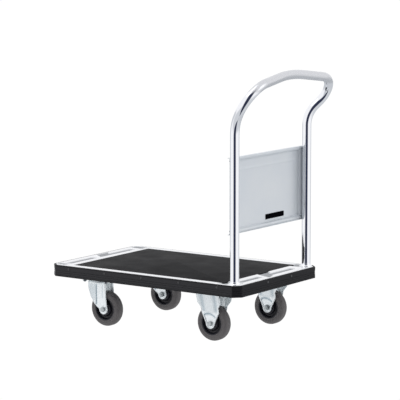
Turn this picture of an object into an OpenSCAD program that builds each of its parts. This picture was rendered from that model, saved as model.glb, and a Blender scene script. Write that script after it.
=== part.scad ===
/* [Deck] */
// Overall length of the deck over its bumper
deck_l = 813; // [660:1:1000]
// Overall width of the deck over its bumper
deck_w = 520; // [420:1:640]
// Height of the metal rim above the ground
deck_top = 215.5; // [212:0.5:262]
// Size of the corner chamfers, measured on the bumper's outside
corner_cut = 25; // [18:1:40]
// Thickness of the deck's sheet steel
sheet_t = 1.6; // [1:0.1:2.4]
// Height of the folded skirt around the deck
skirt_h = 37; // [28:1:37]

/* [Deck mat] */
// Bare metal between the mat and the deck's outer side, along each long side
mat_side_margin = 34.3; // [24:0.1:60]
// Bare metal between the mat and the deck's outer end, at each end
mat_end_margin = 82.6; // [70:0.1:110]
// Thickness of the rubber mat
mat_t = 3; // [2:0.5:5]
// How far the mat's top lies below the metal rim
mat_drop = 0.5; // [0:0.1:1]
// Gap between the mat's edge and the wall of its tray
mat_gap = 1; // [0.5:0.1:2]

/* [End band pressings] */
// Depth of the long grooves pressed into the end bands
groove_depth = 4; // [2:0.5:6]
// Width of each groove, along the deck
groove_w = 30; // [16:1:34]
// Length of each groove, across the deck
groove_l = 132; // [80:1:134]
// Distance from the deck's middle line to the groove's near end
groove_from_middle = 24; // [15:1:28]
// Metal left between the groove and the mat's edge
groove_land = 13; // [10:1:20]

/* [Bumper] */
// Thickness of the rubber bumper
bumper_t = 7; // [5:0.5:10]
// Height of the bumper
bumper_h = 40.5; // [34:0.5:40.5]
// How far the bumper's top lies below the metal rim
bumper_drop = 1.2; // [0.5:0.1:2]
// Number of horizontal grooves around the bumper
bumper_grooves = 3; // [1:1:4]
// Height of each bumper groove
bumper_groove_h = 2; // [1:0.2:3]
// Depth of each bumper groove
bumper_groove_d = 1.2; // [0.5:0.1:2]
// Distance between the rivets along a long side
rivet_pitch = 160; // [120:1:170]
// Number of rivets on each side of the middle one, along a long side
rivets_each_way = 2; // [1:1:2]
// Distance from the middle line to each end rivet
end_rivet_y = 75; // [50:1:120]
// Distance of the rivets below the metal rim
rivet_drop = 11.5; // [9:0.5:16]
// Radius of the rivet shank
rivet_r = 2; // [1.5:0.1:2.5]
// Radius of the rivet head
rivet_head_r = 4.5; // [3.5:0.1:6]
// Thickness of the rivet head
rivet_head_t = 1.2; // [0.8:0.1:2]

/* [Frame under the deck] */
// Width of the crossmember channels, along the deck
member_w = 126; // [124:1:140]
// Length of the crossmember channels, across the deck
member_l = 456; // [452:1:458]
// Wall thickness of the crossmembers
member_t = 3; // [2:0.5:4]
// Width of the lengthwise stiffeners
stiffener_w = 40; // [25:1:60]
// Height of the lengthwise stiffeners
stiffener_h = 26; // [15:1:30]
// Wall thickness of the stiffeners
stiffener_t = 2; // [1.5:0.5:3]
// Distance from the middle line to each stiffener's middle
stiffener_y = 110; // [70:1:140]

/* [Handle] */
// Outside diameter of the handle tube
tube_d = 31.8; // [26:0.1:38.2]
// Wall thickness of the handle tube
tube_wall = 1.6; // [1:0.1:2.5]
// Distance from the deck's rear end to the uprights' middle
handle_inset = 35.6; // [33:0.1:37]
// Distance from the deck's side to the uprights' middle
handle_side_inset = 31.5; // [30.5:0.1:36]
// Height at which the lines of the upright and the leaning part meet
handle_bend_z = 761; // [740:1:920]
// Lean of the upper handle towards the operator, from the vertical
handle_lean = 39.9; // [0:0.1:50]
// Outward splay of the leaning part
handle_splay = 23.4; // [10:0.1:30]
// Length of the leaning part, between the corners of its middle line
handle_side_l = 174.5; // [160:0.5:230]
// Rise of the crossbar's middle above its ends
arch_rise = 36.5; // [10:0.5:60]
// How far the crossbar's middle curves back towards the deck
arch_back = 27.4; // [0:0.1:40]
// Bend radius where the uprights start to lean
lean_bend_r = 100; // [60:1:120]
// Bend radius at the two grip corners
corner_bend_r = 80; // [50:1:85]
// Bend radius in the middle of the crossbar
arch_bend_r = 500; // [200:5:600]

/* [Handle fixing] */
// Height of the collar on the deck
collar_h = 9; // [5:0.5:15]
// Radial width of the collar's foot
collar_foot = 5; // [3:0.5:6]
// Radial width of the collar's top
collar_lip = 1.5; // [1:0.5:3]
// Wall thickness of the socket under the deck
socket_wall = 3; // [2:0.5:4]
// Radial gap between the handle tube and its collar and socket
tube_gap = 0.1; // [0.05:0.05:0.5]
// Radius of the cross bolts that hold the tube in its sockets
handle_bolt_r = 4; // [3:0.5:5]
// Angle that turns the cross bolts' heads away from the deck's cut corners
handle_bolt_turn = 20; // [15:5:40]

/* [Back panel] */
// Height of the panel's lower edge above the ground
panel_z = 382; // [300:1:400]
// Height of the panel
panel_h = 263; // [200:1:300]
// How far the panel reaches past the middle of each upright
panel_reach = 6; // [5:0.5:14]
// Thickness of the panel's sheet
panel_t = 1.2; // [0.8:0.1:2]
// Depth of the pressed middle of the panel
panel_recess = 8; // [4:0.5:12]
// Distance from the middle of the upright to the recess's side
panel_side_rim = 16.5; // [16.5:0.5:30]
// Height of the rim above the recess
panel_top_rim = 12; // [8:1:20]
// Height of the rim below the recess
panel_bottom_rim = 15; // [8:1:20]
// Depth of the stiffening hems folded back at the top and the bottom
panel_hem = 10; // [6:0.5:16]
// Number of rivets that hold the panel to each upright
panel_rivets_n = 3; // [2:1:5]
// Width of the name plate
plate_w = 117; // [60:1:160]
// Height of the name plate
plate_h = 18; // [10:1:30]
// Thickness of the name plate
plate_t = 1.5; // [1:0.1:3]
// Sideways distance from the middle line to the name plate's middle
plate_y = 57; // [-90:1:90]
// Distance from the recess's lower side to the name plate's lower side
plate_up = 11; // [4:1:60]

/* [Wheels] */
// Diameter of the wheels
wheel_d = 125; // [100:1:127]
// Width of the tyres
tyre_w = 36; // [30:1:37]
// Radial thickness of the tyres
tyre_t = 21; // [14:0.5:22]
// Radius of the rounded tyre shoulders
shoulder_r = 12; // [6:0.5:13]
// Radial thickness of the wheel core's rim
core_rim = 7; // [4:0.5:8]
// Thickness of the wheel core's web
core_web = 9; // [6:0.5:12]
// Radius of the wheel core's hub
hub_r = 24; // [21:0.5:26]
// Distance of the wheels' middle plane from the deck's side
wheel_inset = 80.8; // [76:0.1:100]

/* [Wheel bearings] */
// Outside radius of the ball bearings
bearing_or = 17.5; // [15:0.5:19]
// Bore radius of the ball bearings
bearing_ir = 7.5; // [7:0.1:8]
// Width of each ball bearing
bearing_w = 11; // [8:0.5:13]
// Radial thickness of the bearing rings
bearing_ring = 2.6; // [2:0.1:3]
// Number of balls in each bearing
bearing_balls = 8; // [6:1:9]
// Radius of the bearing balls
bearing_ball_r = 2.4; // [2:0.1:2.8]

/* [Casters] */
// Height of the casters from the ground to the top of their plates
caster_h = 171; // [168:0.5:171]
// Distance from the deck's rear end to the rigid casters' axles
rear_axle_inset = 152.8; // [150:0.1:190]
// Distance from the deck's front end to the swivel axes
swivel_inset = 167.5; // [160:0.5:200]
// Distance that the front axles trail behind the swivel axes
trail = 30; // [20:0.5:40]
// Length of the caster plates, along the deck
plate_l = 116; // [112:1:120]
// Width of the caster plates, across the deck
caster_plate_w = 90; // [86:1:96]
// Thickness of the caster plates
caster_plate_t = 4.5; // [3:0.5:5]
// Distance between the plate holes, along the deck
hole_pitch_l = 94; // [94:0.5:96]
// Distance between the plate holes, across the deck
hole_pitch_w = 61; // [60:0.5:64]
// Thickness of the fork and bracket legs
leg_t = 3.5; // [2.5:0.5:4]
// Gap between the tyre's side and the leg
leg_gap = 4.5; // [3:0.5:6]
// Radius of the tongues around the axle
tongue_r = 18; // [14:0.5:20]
// Half of the width of a fork's upper part
fork_half_w = 38.5; // [34:0.5:40]
// Half of the width of a rigid bracket's upper part
bracket_half_w = 47.5; // [40:0.5:50]
// Outward lean of a rigid bracket's upper part
bracket_splay = 19; // [10:0.5:19]
// Height at which a rigid bracket's legs start to lean outwards
bracket_knee_z = 100; // [90:1:115]

/* [Swivel heads] */
// Gap between the swivel plate and the fork's crown
head_gap = 5.5; // [5:0.5:7]
// Radius of the circle that the upper balls run on
race_r = 27; // [24:0.5:30]
// Radius of the upper balls
race_ball_r = 3.6; // [3:0.1:4]
// Number of upper balls
race_balls_n = 18; // [12:1:20]
// Radius of the circle that the lower balls run on
lower_race_r = 13; // [11:0.5:15]
// Radius of the lower balls
lower_ball_r = 2.6; // [2:0.1:3]
// Number of lower balls
lower_balls_n = 12; // [8:1:13]
// Radius of the kingpin
kingpin_r = 6; // [5:0.5:8]

/* [Fasteners] */
// Radius of the axle bolts
axle_r = 5; // [4:0.5:6]
// Radius of the bolts that hold the casters
bolt_r = 4; // [3:0.5:4]
// Radial gap between a bolt and its hole
hole_gap = 0.3; // [0.1:0.1:0.6]
// Radial running clearance of the kingpin
running_gap = 0.08; // [0.05:0.01:0.1]
// Clearance between the balls and the races that move past them
race_gap = 0.3; // [0.2:0.05:0.4]

/* [Hidden] */
$fn = 64;
// Overlap that joins pieces of one solid
eps = 0.01;
// The drawn tube is a hair thinner in its bends, which run this far into the straights
bend_neck = 0.25;
bend_run_in = 0.5;
// Gap between a ball and the groove of the fork that carries it
seat_gap = 0.02;

// Sides: the operator stands at the rear end, so left is towards -Y
LEFT = -1;
RIGHT = 1;

// Standard proportions of hexagon bolts, nuts and washers, as multiples of the bolt's radius
hex_corner = 1.88;
head_height = 1.3;
nut_height = 1.6;
washer_out = 2.0;
washer_t = 1.6;
thread_past_nut = 2;

// Deck levels
tray_depth = mat_t + mat_drop;
tray_under = deck_top - tray_depth - sheet_t;
skirt_bottom = deck_top - skirt_h;
bumper_top = deck_top - bumper_drop;
rivet_z = deck_top - rivet_drop;

// Caster and wheel places, from the deck's middle
wheel_r = wheel_d / 2;
wheel_y = deck_w / 2 - wheel_inset;
rear_x = deck_l / 2 - rear_axle_inset;
swivel_x = -deck_l / 2 + swivel_inset;
front_x = swivel_x + trail;
leg_in = tyre_w / 2 + leg_gap;
leg_out = leg_in + leg_t;
plate_under = caster_h - caster_plate_t;
crown_top = plate_under - head_gap;
crown_t = leg_t;
race_z = plate_under - head_gap / 2;
lower_race_z = crown_top - crown_t - lower_ball_r * 0.6;
kingpin_foot_z = lower_race_z - lower_ball_r * 0.6;
kingpin_foot_r = lower_race_r + lower_ball_r + 2;
kingpin_foot_t = 4;
core_half_w = tyre_w / 2 - 1;
ball_circle_r = (bearing_or + bearing_ir) / 2;

// The four wheels: each corner's name, axle place and side
corners = [["front_left", front_x, LEFT], ["front_right", front_x, RIGHT],
           ["rear_left", rear_x, LEFT], ["rear_right", rear_x, RIGHT]];

// Handle path: the left half's corner points, then the mirrored right half
handle_x = deck_l / 2 - handle_inset;
handle_y = deck_w / 2 - handle_side_inset;
tube_r = tube_d / 2;
socket_r = tube_r + tube_gap + socket_wall;
socket_bottom = skirt_bottom + 2;
lean_dir = [sin(handle_lean), 0, cos(handle_lean)];
side_dir = cos(handle_splay) * lean_dir + sin(handle_splay) * [0, -1, 0];
foot_pt = [handle_x, -handle_y, socket_bottom];
lean_pt = [handle_x, -handle_y, handle_bend_z];
corner_pt = lean_pt + handle_side_l * side_dir;
arch_pt = [corner_pt.x - arch_back, 0, corner_pt.z + arch_rise];
handle_path = [foot_pt, lean_pt, corner_pt, arch_pt, flip(corner_pt), flip(lean_pt), flip(foot_pt)];
handle_radii = [0, lean_bend_r, corner_bend_r, arch_bend_r, corner_bend_r, lean_bend_r, 0];

function flip(p) = [p.x, -p.y, p.z];
function unit(v) = v / norm(v);
function back_dir(p, i) = unit(p[i - 1] - p[i]);
function fwd_dir(p, i) = unit(p[i + 1] - p[i]);
function turn(p, i) = 180 - acos(back_dir(p, i) * fwd_dir(p, i));
function setback(p, r, i) = (i == 0 || i == len(p) - 1) ? 0 : r[i] * tan(turn(p, i) / 2);
function bend_centre(p, r, i) = p[i] + unit(back_dir(p, i) + fwd_dir(p, i)) * r[i] / cos(turn(p, i) / 2);
function bend_out(p, r, i) = unit(p[i] + back_dir(p, i) * setback(p, r, i) - bend_centre(p, r, i));
function bend_x(p, r, i, a) =
    (bend_centre(p, r, i) + r[i] * (cos(a) * bend_out(p, r, i) - sin(a) * back_dir(p, i))).x;

// The origin is under the middle of the whole truck, which the leaning handle moves behind the deck's middle
grip_turn = turn(handle_path, 2);
grip_x = max([for (k = [0:40]) bend_x(handle_path, handle_radii, 2, grip_turn * k / 40)]);
rear_reach = max(grip_x + tube_r - bend_neck, deck_l / 2 + rivet_head_t);
deck_x = -(rear_reach - deck_l / 2 - rivet_head_t) / 2;

// Panel, from the deck's middle: its rim touches the uprights from the front
panel_front = handle_x - tube_r;
panel_half = handle_y + panel_reach;
recess_half = handle_y - panel_side_rim;
recess_z = panel_z + panel_bottom_rim;
recess_h = panel_h - panel_bottom_rim - panel_top_rim;
face_front = panel_front - panel_recess;
panel_rivet_zs = [for (k = [0:panel_rivets_n - 1])
    recess_z + recess_h * (0.08 + 0.84 * k / (panel_rivets_n - 1))];

module on_deck() {
    translate([deck_x, 0, 0]) children();
}

module mirrored_y(side) {
    mirror([0, side < 0 ? 1 : 0, 0]) children();
}

// The deck's outline, moved inwards by an inset with its chamfers kept parallel
module outline(inset) {
    x = deck_l / 2 - inset;
    y = deck_w / 2 - inset;
    cut = corner_cut - inset * (2 - sqrt(2));
    polygon([[x - cut, -y], [x, cut - y], [x, y - cut], [x - cut, y],
             [cut - x, y], [-x, y - cut], [-x, cut - y], [cut - x, -y]]);
}

module slab(x0, x1, y0, y1, z0, z1) {
    translate([x0, y0, z0]) cube([x1 - x0, y1 - y0, z1 - z0]);
}

// A rod along Y, such as a wheel's shaft
module y_rod(r, y0, y1) {
    translate([0, y0, 0]) rotate([-90, 0, 0]) cylinder(r = r, h = y1 - y0);
}

module ring(r_out, r_in, h) {
    difference() {
        cylinder(r = r_out, h = h);
        translate([0, 0, -1]) cylinder(r = r_in, h = h + 2);
    }
}

// Four copies at the corners of a caster plate's hole pattern
module at_plate_holes() {
    for (x = [-1, 1], y = [-1, 1])
        translate([x * hole_pitch_l / 2, y * hole_pitch_w / 2, 0]) children();
}

module at_casters() {
    for (x = [swivel_x, rear_x], side = [LEFT, RIGHT])
        translate([x, side * wheel_y, 0]) children();
}

// Places of the bumper rivets, with the rivet's axis turned to point out of the bumper
module at_bumper_rivets() {
    for (side = [LEFT, RIGHT], k = [-rivets_each_way:rivets_each_way])
        translate([k * rivet_pitch, side * deck_w / 2, rivet_z]) rotate([-90 * side, 0, 0]) children();
    for (end = [-1, 1], side = [LEFT, RIGHT])
        translate([end * deck_l / 2, side * end_rivet_y, rivet_z]) rotate([0, 90 * end, 0]) children();
}

module at_uprights() {
    for (side = [LEFT, RIGHT]) translate([handle_x, side * handle_y, 0]) children();
}

module at_panel_rivets() {
    at_uprights() for (z = panel_rivet_zs) translate([0, 0, z]) rotate([0, -90, 0]) children();
}

// A box with the mat's footprint, grown by a margin
module tray_box(grow, z0, z1) {
    x = deck_l / 2 - mat_end_margin + grow;
    y = deck_w / 2 - mat_side_margin + grow;
    slab(-x, x, -y, y, z0, z1);
}

// The four pressed grooves of the end bands, grown by a margin
module groove_boxes(grow, z0, z1) {
    x = deck_l / 2 - mat_end_margin + groove_land;
    for (end = [0, 1], side = [0, 1]) mirror([end, 0, 0]) mirror([0, side, 0])
        slab(x - grow, x + groove_w + grow,
             groove_from_middle - grow, groove_from_middle + groove_l + grow, z0, z1);
}

// ---- Deck ----

module deck_pan() {
    color("gainsboro") on_deck() difference() {
        translate([0, 0, skirt_bottom]) linear_extrude(skirt_h) outline(bumper_t);
        difference() {
            translate([0, 0, skirt_bottom - 1]) linear_extrude(skirt_h + 1 - sheet_t)
                outline(bumper_t + sheet_t);
            tray_box(mat_gap + sheet_t, tray_under, deck_top);
            groove_boxes(sheet_t, deck_top - groove_depth - sheet_t, deck_top);
        }
        tray_box(mat_gap, deck_top - tray_depth, deck_top + 1);
        groove_boxes(0, deck_top - groove_depth, deck_top + 1);
        at_uprights() translate([0, 0, skirt_bottom]) cylinder(r = tube_r + tube_gap, h = skirt_h + 1);
        at_bumper_rivets() translate([0, 0, -bumper_t - sheet_t - 1]) cylinder(r = rivet_r, h = bumper_t);
    }
}

module deck_mat() {
    color("dimgray") on_deck() tray_box(0, deck_top - tray_depth, deck_top - mat_drop);
}

module bumper() {
    color("black") on_deck() difference() {
        translate([0, 0, bumper_top - bumper_h]) linear_extrude(bumper_h) difference() {
            outline(0);
            outline(bumper_t);
        }
        for (k = [1:bumper_grooves])
            translate([0, 0, bumper_top - rivet_drop - (bumper_h - rivet_drop) * k / (bumper_grooves + 1)])
                linear_extrude(bumper_groove_h) difference() {
                    outline(-1);
                    outline(bumper_groove_d);
                }
        at_bumper_rivets() translate([0, 0, -bumper_t - 1]) cylinder(r = rivet_r, h = bumper_t + 2);
    }
}

module bumper_rivets() {
    color("dimgray") on_deck() at_bumper_rivets() {
        cylinder(r = rivet_head_r, h = rivet_head_t);
        translate([0, 0, -bumper_t - sheet_t]) cylinder(r = rivet_r, h = bumper_t + sheet_t + eps);
        translate([0, 0, -bumper_t - sheet_t - rivet_head_t])
            cylinder(r = rivet_r * 1.7, h = rivet_head_t);
    }
}

// ---- Frame under the deck ----

// An upright channel that carries two casters, open towards the deck
module crossmember(x) {
    color("darkgray") on_deck() translate([x, 0, 0]) difference() {
        slab(-member_w / 2, member_w / 2, -member_l / 2, member_l / 2, caster_h, tray_under);
        slab(member_t - member_w / 2, member_w / 2 - member_t, -member_l, member_l,
             caster_h + member_t, tray_under + 1);
        for (side = [LEFT, RIGHT]) translate([0, side * wheel_y, caster_h - 1])
            at_plate_holes() cylinder(r = bolt_r + hole_gap, h = member_t + 2);
    }
}

// A channel along the deck, between the two crossmembers
module stiffener(side) {
    x0 = swivel_x + member_w / 2;
    x1 = rear_x - member_w / 2;
    color("darkgray") on_deck() translate([0, side * stiffener_y, 0]) difference() {
        slab(x0, x1, -stiffener_w / 2, stiffener_w / 2, tray_under - stiffener_h, tray_under);
        slab(x0 - 1, x1 + 1, stiffener_t - stiffener_w / 2, stiffener_w / 2 - stiffener_t,
             tray_under - stiffener_h + stiffener_t, tray_under + 1);
    }
}

// ---- Handle ----

module rod_straight(a, b, rod_r) {
    d = unit(b - a);
    translate(a) rotate([0, acos(d.z), atan2(d.y, d.x)]) cylinder(r = rod_r, h = norm(b - a));
}

// A bend's torus, carried on a little past both of its ends
module rod_bend(p, r, i, rod_r) {
    c = bend_centre(p, r, i);
    past = bend_run_in / r[i] * 180 / PI;
    x = bend_out(p, r, i);
    y = -back_dir(p, i);
    z = cross(x, y);
    multmatrix([[x.x, y.x, z.x, c.x], [x.y, y.y, z.y, c.y], [x.z, y.z, z.z, c.z], [0, 0, 0, 1]])
        rotate([0, 0, -past])
            rotate_extrude(angle = turn(p, i) + 2 * past) translate([r[i], 0]) circle(r = rod_r);
}

// A solid rod along a path. Its bends are a little thinner and run into the straights
module rod_along(p, r, rod_r, past_ends) {
    last = len(p) - 1;
    for (i = [1:last - 1]) rod_bend(p, r, i, rod_r - bend_neck);
    for (i = [0:last - 1]) {
        d = fwd_dir(p, i);
        rod_straight(p[i] + d * (setback(p, r, i) - (i == 0 ? past_ends : 0)),
                     p[i + 1] - d * (setback(p, r, i + 1) - (i == last - 1 ? past_ends : 0)), rod_r);
    }
}

module handle_tube() {
    color("silver") on_deck() difference() {
        rod_along(handle_path, handle_radii, tube_r, 0);
        rod_along(handle_path, handle_radii, tube_r - tube_wall, 1);
        at_panel_rivets() cylinder(r = rivet_r, h = tube_d);
        at_handle_bolts() translate([0, 0, -socket_r])
            cylinder(r = handle_bolt_r + hole_gap, h = 2 * socket_r);
    }
}

// A flared ring that covers the hole where an upright enters the deck
module handle_collars() {
    r = tube_r + tube_gap;
    color("silver") on_deck() at_uprights() translate([0, 0, deck_top]) rotate_extrude()
        polygon([[r, 0], [r + collar_foot, 0], [r + collar_foot, collar_h * 0.2],
                 [r + collar_lip, collar_h], [r, collar_h]]);
}

module at_handle_bolts() {
    for (side = [LEFT, RIGHT]) translate([handle_x, side * handle_y, (socket_bottom + deck_top) / 2])
        rotate([0, 0, -side * handle_bolt_turn]) rotate([0, -90, 0]) children();
}

module handle_socket(side) {
    color("darkgray") on_deck() difference() {
        translate([handle_x, side * handle_y, socket_bottom])
            ring(socket_r, tube_r + tube_gap, deck_top - sheet_t - socket_bottom);
        at_handle_bolts() translate([0, 0, -socket_r - 1])
            cylinder(r = handle_bolt_r + hole_gap, h = 2 * socket_r + 2);
    }
}

// Bolt head against one side of the socket, nut against the other
module handle_bolts() {
    nut_room = washer_t + handle_bolt_r * nut_height + thread_past_nut;
    head = handle_bolt_r * head_height;
    color("gray") on_deck() at_handle_bolts() {
        translate([0, 0, -socket_r]) cylinder(r = handle_bolt_r, h = 2 * socket_r + nut_room);
        translate([0, 0, -socket_r - head]) hex_prism(handle_bolt_r, head + eps);
    }
}

module handle_nuts() {
    color("gray") on_deck() at_handle_bolts() translate([0, 0, socket_r]) nut(handle_bolt_r);
}

// ---- Panel ----

module panel_box(half, x0, x1, z0, h) {
    slab(x0, x1, -half, half, z0, z0 + h);
}

// One pressed sheet: a rim against the uprights, a recessed face and two hems folded back
module back_panel() {
    rim_back = panel_front - panel_t;
    color("lightsteelblue") on_deck() difference() {
        union() {
            panel_box(panel_half, rim_back, panel_front, panel_z, panel_h);
            panel_box(recess_half + panel_t, face_front - panel_t, rim_back + eps,
                      recess_z - panel_t, recess_h + 2 * panel_t);
            for (z = [panel_z, panel_z + panel_h - panel_t])
                panel_box(panel_half, panel_front - panel_hem, panel_front, z, panel_t);
        }
        panel_box(recess_half, face_front, panel_front + 1, recess_z, recess_h);
        at_panel_rivets() cylinder(r = rivet_r, h = tube_d);
    }
}

module panel_rivets() {
    grip = tube_r + panel_t;
    color("gray") on_deck() at_panel_rivets() {
        translate([0, 0, tube_r - tube_wall - rivet_r])
            cylinder(r = rivet_r, h = tube_wall + rivet_r + panel_t + eps);
        translate([0, 0, grip]) cylinder(r = rivet_head_r, h = rivet_head_t);
    }
}

module name_plate() {
    color("black") on_deck()
        slab(face_front, face_front + plate_t, plate_y - plate_w / 2, plate_y + plate_w / 2,
             recess_z + plate_up, recess_z + plate_up + plate_h);
}

// ---- Fasteners ----

module hex_prism(r, h) {
    cylinder(r = r * hex_corner, h = h, $fn = 6);
}

module nut(r) {
    translate([0, 0, washer_t]) difference() {
        hex_prism(r, r * nut_height);
        translate([0, 0, -1]) cylinder(r = r, h = r * nut_height + 2);
    }
    ring(r * washer_out, r + hole_gap, washer_t);
}

module caster_bolts() {
    grip = member_t + caster_plate_t;
    length = grip + washer_t + bolt_r * nut_height + thread_past_nut;
    color("gray") on_deck() at_casters() at_plate_holes() translate([0, 0, caster_h + member_t]) {
        hex_prism(bolt_r, bolt_r * head_height);
        translate([0, 0, -length]) cylinder(r = bolt_r, h = length + eps);
    }
}

module caster_nuts() {
    color("gray") on_deck() at_casters() at_plate_holes() translate([0, 0, plate_under])
        mirror([0, 0, 1]) nut(bolt_r);
}

// ---- Rigid casters at the rear ----

// A caster's plate with its four bolt holes
module caster_plate() {
    difference() {
        slab(-plate_l / 2, plate_l / 2, -caster_plate_w / 2, caster_plate_w / 2, plate_under, caster_h);
        at_plate_holes() translate([0, 0, plate_under - 1])
            cylinder(r = bolt_r + hole_gap, h = caster_plate_t + 2);
    }
}

// A leg's outline in the X-Z plane, stood upright and given its thickness along Y
module leg_plate() {
    rotate([90, 0, 0]) linear_extrude(leg_t) children();
}

module tongue_outline(x) {
    translate([x, wheel_r]) circle(r = tongue_r);
    polygon([[x - tongue_r * 0.7, wheel_r - tongue_r * 0.72], [x, wheel_r - tongue_r * 1.22],
             [x + tongue_r * 0.7, wheel_r - tongue_r * 0.72]]);
}

// The lower half of a rigid bracket's leg, from its knee down to the axle
module bracket_lower_outline() {
    w = bracket_half_w * 0.75;
    difference() {
        union() {
            tongue_outline(0);
            polygon([[-w, bracket_knee_z], [-tongue_r, wheel_r], [tongue_r, wheel_r], [w, bracket_knee_z]]);
        }
        translate([0, wheel_r]) circle(r = axle_r + hole_gap);
    }
}

// The upper half of a rigid bracket's leg, laid flat from the knee at zero
module bracket_upper_outline(l) {
    w = bracket_half_w * 0.75;
    polygon([[-w, 0], [w, 0], [w, l * 0.28], [bracket_half_w, l * 0.52], [bracket_half_w, l],
             [-bracket_half_w, l], [-bracket_half_w, l * 0.52], [-w, l * 0.28]]);
}

module bracket_leg() {
    rise = plate_under - bracket_knee_z;
    lean = atan2(bracket_splay, rise);
    translate([0, leg_out, 0]) leg_plate() bracket_lower_outline();
    translate([0, leg_out, bracket_knee_z]) rotate([-lean, 0, 0]) translate([0, 0, -leg_t * tan(lean / 2)])
        leg_plate() bracket_upper_outline(norm([rise, bracket_splay]) + leg_t);
}

module rigid_bracket(side) {
    color("silver") on_deck() translate([rear_x, side * wheel_y, 0]) {
        caster_plate();
        intersection() {
            for (flip_y = [0, 1]) mirror([0, flip_y, 0]) bracket_leg();
            slab(-plate_l, plate_l, -caster_plate_w, caster_plate_w, 0, plate_under + eps);
        }
    }
}

// ---- Swivel casters at the front ----

module groove(r, ball_r, z) {
    translate([0, 0, z]) rotate_extrude() translate([r, 0]) circle(r = ball_r);
}

module swivel_plate(side) {
    color("silver") on_deck() translate([swivel_x, side * wheel_y, 0]) difference() {
        caster_plate();
        groove(race_r, race_ball_r + race_gap, race_z);
        translate([0, 0, plate_under - 1]) cylinder(r = kingpin_r, h = caster_plate_t + 2);
    }
}

// A riveted pin whose foot carries the lower ball race
module kingpin(side) {
    color("gray") on_deck() translate([swivel_x, side * wheel_y, 0]) difference() {
        union() {
            translate([0, 0, kingpin_foot_z - kingpin_foot_t])
                cylinder(r = kingpin_r, h = caster_h - kingpin_foot_z + kingpin_foot_t);
            translate([0, 0, kingpin_foot_z - kingpin_foot_t])
                cylinder(r = kingpin_foot_r, h = kingpin_foot_t);
        }
        groove(lower_race_r, lower_ball_r + race_gap, lower_race_z);
    }
}

// The leg's front edge sweeps back from under the crown to the trailing axle
module fork_leg_outline() {
    x = fork_half_w;
    top = crown_top;
    difference() {
        union() {
            tongue_outline(trail);
            polygon([[-x, top], [-x * 0.94, top - 29], [-x * 0.68, top - 56], [-x * 0.29, top - 80],
                     [trail - tongue_r * 0.8, wheel_r - tongue_r * 0.6], [trail, wheel_r],
                     [trail + tongue_r, wheel_r], [x + 4, top - 70], [x + 2, top - 28], [x, top]]);
        }
        translate([trail, wheel_r]) circle(r = axle_r + hole_gap);
    }
}

module fork(side) {
    color("silver") on_deck() translate([swivel_x, side * wheel_y, 0]) difference() {
        union() {
            translate([0, 0, crown_top - crown_t]) {
                cylinder(r = fork_half_w, h = crown_t);
                slab(-fork_half_w, fork_half_w, -leg_out, leg_out, 0, crown_t);
            }
            for (y = [leg_out, -leg_in]) translate([0, y, 0]) leg_plate() fork_leg_outline();
        }
        groove(race_r, race_ball_r + seat_gap, race_z);
        groove(lower_race_r, lower_ball_r + seat_gap, lower_race_z);
        translate([0, 0, crown_top - crown_t - 1]) cylinder(r = kingpin_r + running_gap, h = crown_t + 2);
    }
}

module ball_circle(r, n, ball_r, z) {
    for (k = [0:n - 1]) rotate([0, 0, 360 * k / n]) translate([r, 0, z]) sphere(r = ball_r);
}

module swivel_balls(side) {
    color("gray") on_deck() translate([swivel_x, side * wheel_y, 0]) {
        ball_circle(race_r, race_balls_n, race_ball_r, race_z);
        ball_circle(lower_race_r, lower_balls_n, lower_ball_r, lower_race_z);
    }
}

// ---- Wheels ----

// Stands a wheel's piece, drawn around Y, at one of the four axles
module at_axle(x, side) {
    on_deck() translate([x, side * wheel_y, wheel_r]) children();
}

// Turns a profile of radius against width around the axle
module turned() {
    rotate([-90, 0, 0]) rotate_extrude() children();
}

module tyre(x, side) {
    inner = wheel_r - tyre_t;
    flat = tyre_w / 2 - shoulder_r;
    color("gray") at_axle(x, side) turned() difference() {
        intersection() {
            union() {
                translate([inner - 1, -tyre_w / 2]) square([tyre_t - shoulder_r + 1, tyre_w]);
                translate([inner - 1, -flat]) square([tyre_t + 1, 2 * flat]);
                for (y = [-flat, flat]) translate([wheel_r - shoulder_r, y]) circle(r = shoulder_r);
            }
            translate([inner, -tyre_w]) square([2 * tyre_t, 2 * tyre_w]);
        }
        for (y = [-tyre_w / 2, tyre_w / 2]) translate([inner + tyre_t * 0.35, y]) circle(r = 1);
    }
}

module core(x, side) {
    r = wheel_r - tyre_t;
    half = core_half_w;
    color("black") at_axle(x, side) turned() difference() {
        union() {
            translate([r - core_rim, -half]) square([core_rim, 2 * half]);
            translate([hub_r - 1, -core_web / 2]) square([r - core_rim - hub_r + 2, core_web]);
            translate([bearing_or - 3, -half]) square([hub_r - bearing_or + 3, 2 * half]);
        }
        for (y = [-half - 1, half - bearing_w]) translate([0, y]) square([bearing_or, bearing_w + 1]);
    }
}

// Two copies of a bearing's profile, one at each end of the hub
module at_bearings() {
    for (y = [-1, 1]) translate([0, y * (core_half_w - bearing_w / 2), 0]) children();
}

module outer_rings(x, side) {
    color("silver") at_axle(x, side) at_bearings() turned() difference() {
        translate([bearing_or - bearing_ring, -bearing_w / 2]) square([bearing_ring, bearing_w]);
        translate([ball_circle_r, 0]) circle(r = bearing_ball_r + race_gap);
    }
}

module inner_rings(x, side) {
    color("silver") at_axle(x, side) at_bearings() {
        turned() difference() {
            translate([bearing_ir, -bearing_w / 2]) square([bearing_ring, bearing_w]);
            translate([ball_circle_r, 0]) circle(r = bearing_ball_r);
        }
        for (k = [0:bearing_balls - 1]) rotate([0, 360 * k / bearing_balls, 0])
            translate([ball_circle_r, 0, 0]) sphere(r = bearing_ball_r);
    }
}

// A spacer tube that the two inner rings sit on, clamped between the legs
module sleeve(x, side) {
    color("gray") at_axle(x, side) difference() {
        y_rod(bearing_ir, -leg_in, leg_in);
        y_rod(axle_r + hole_gap, -leg_in - 1, leg_in + 1);
    }
}

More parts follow.
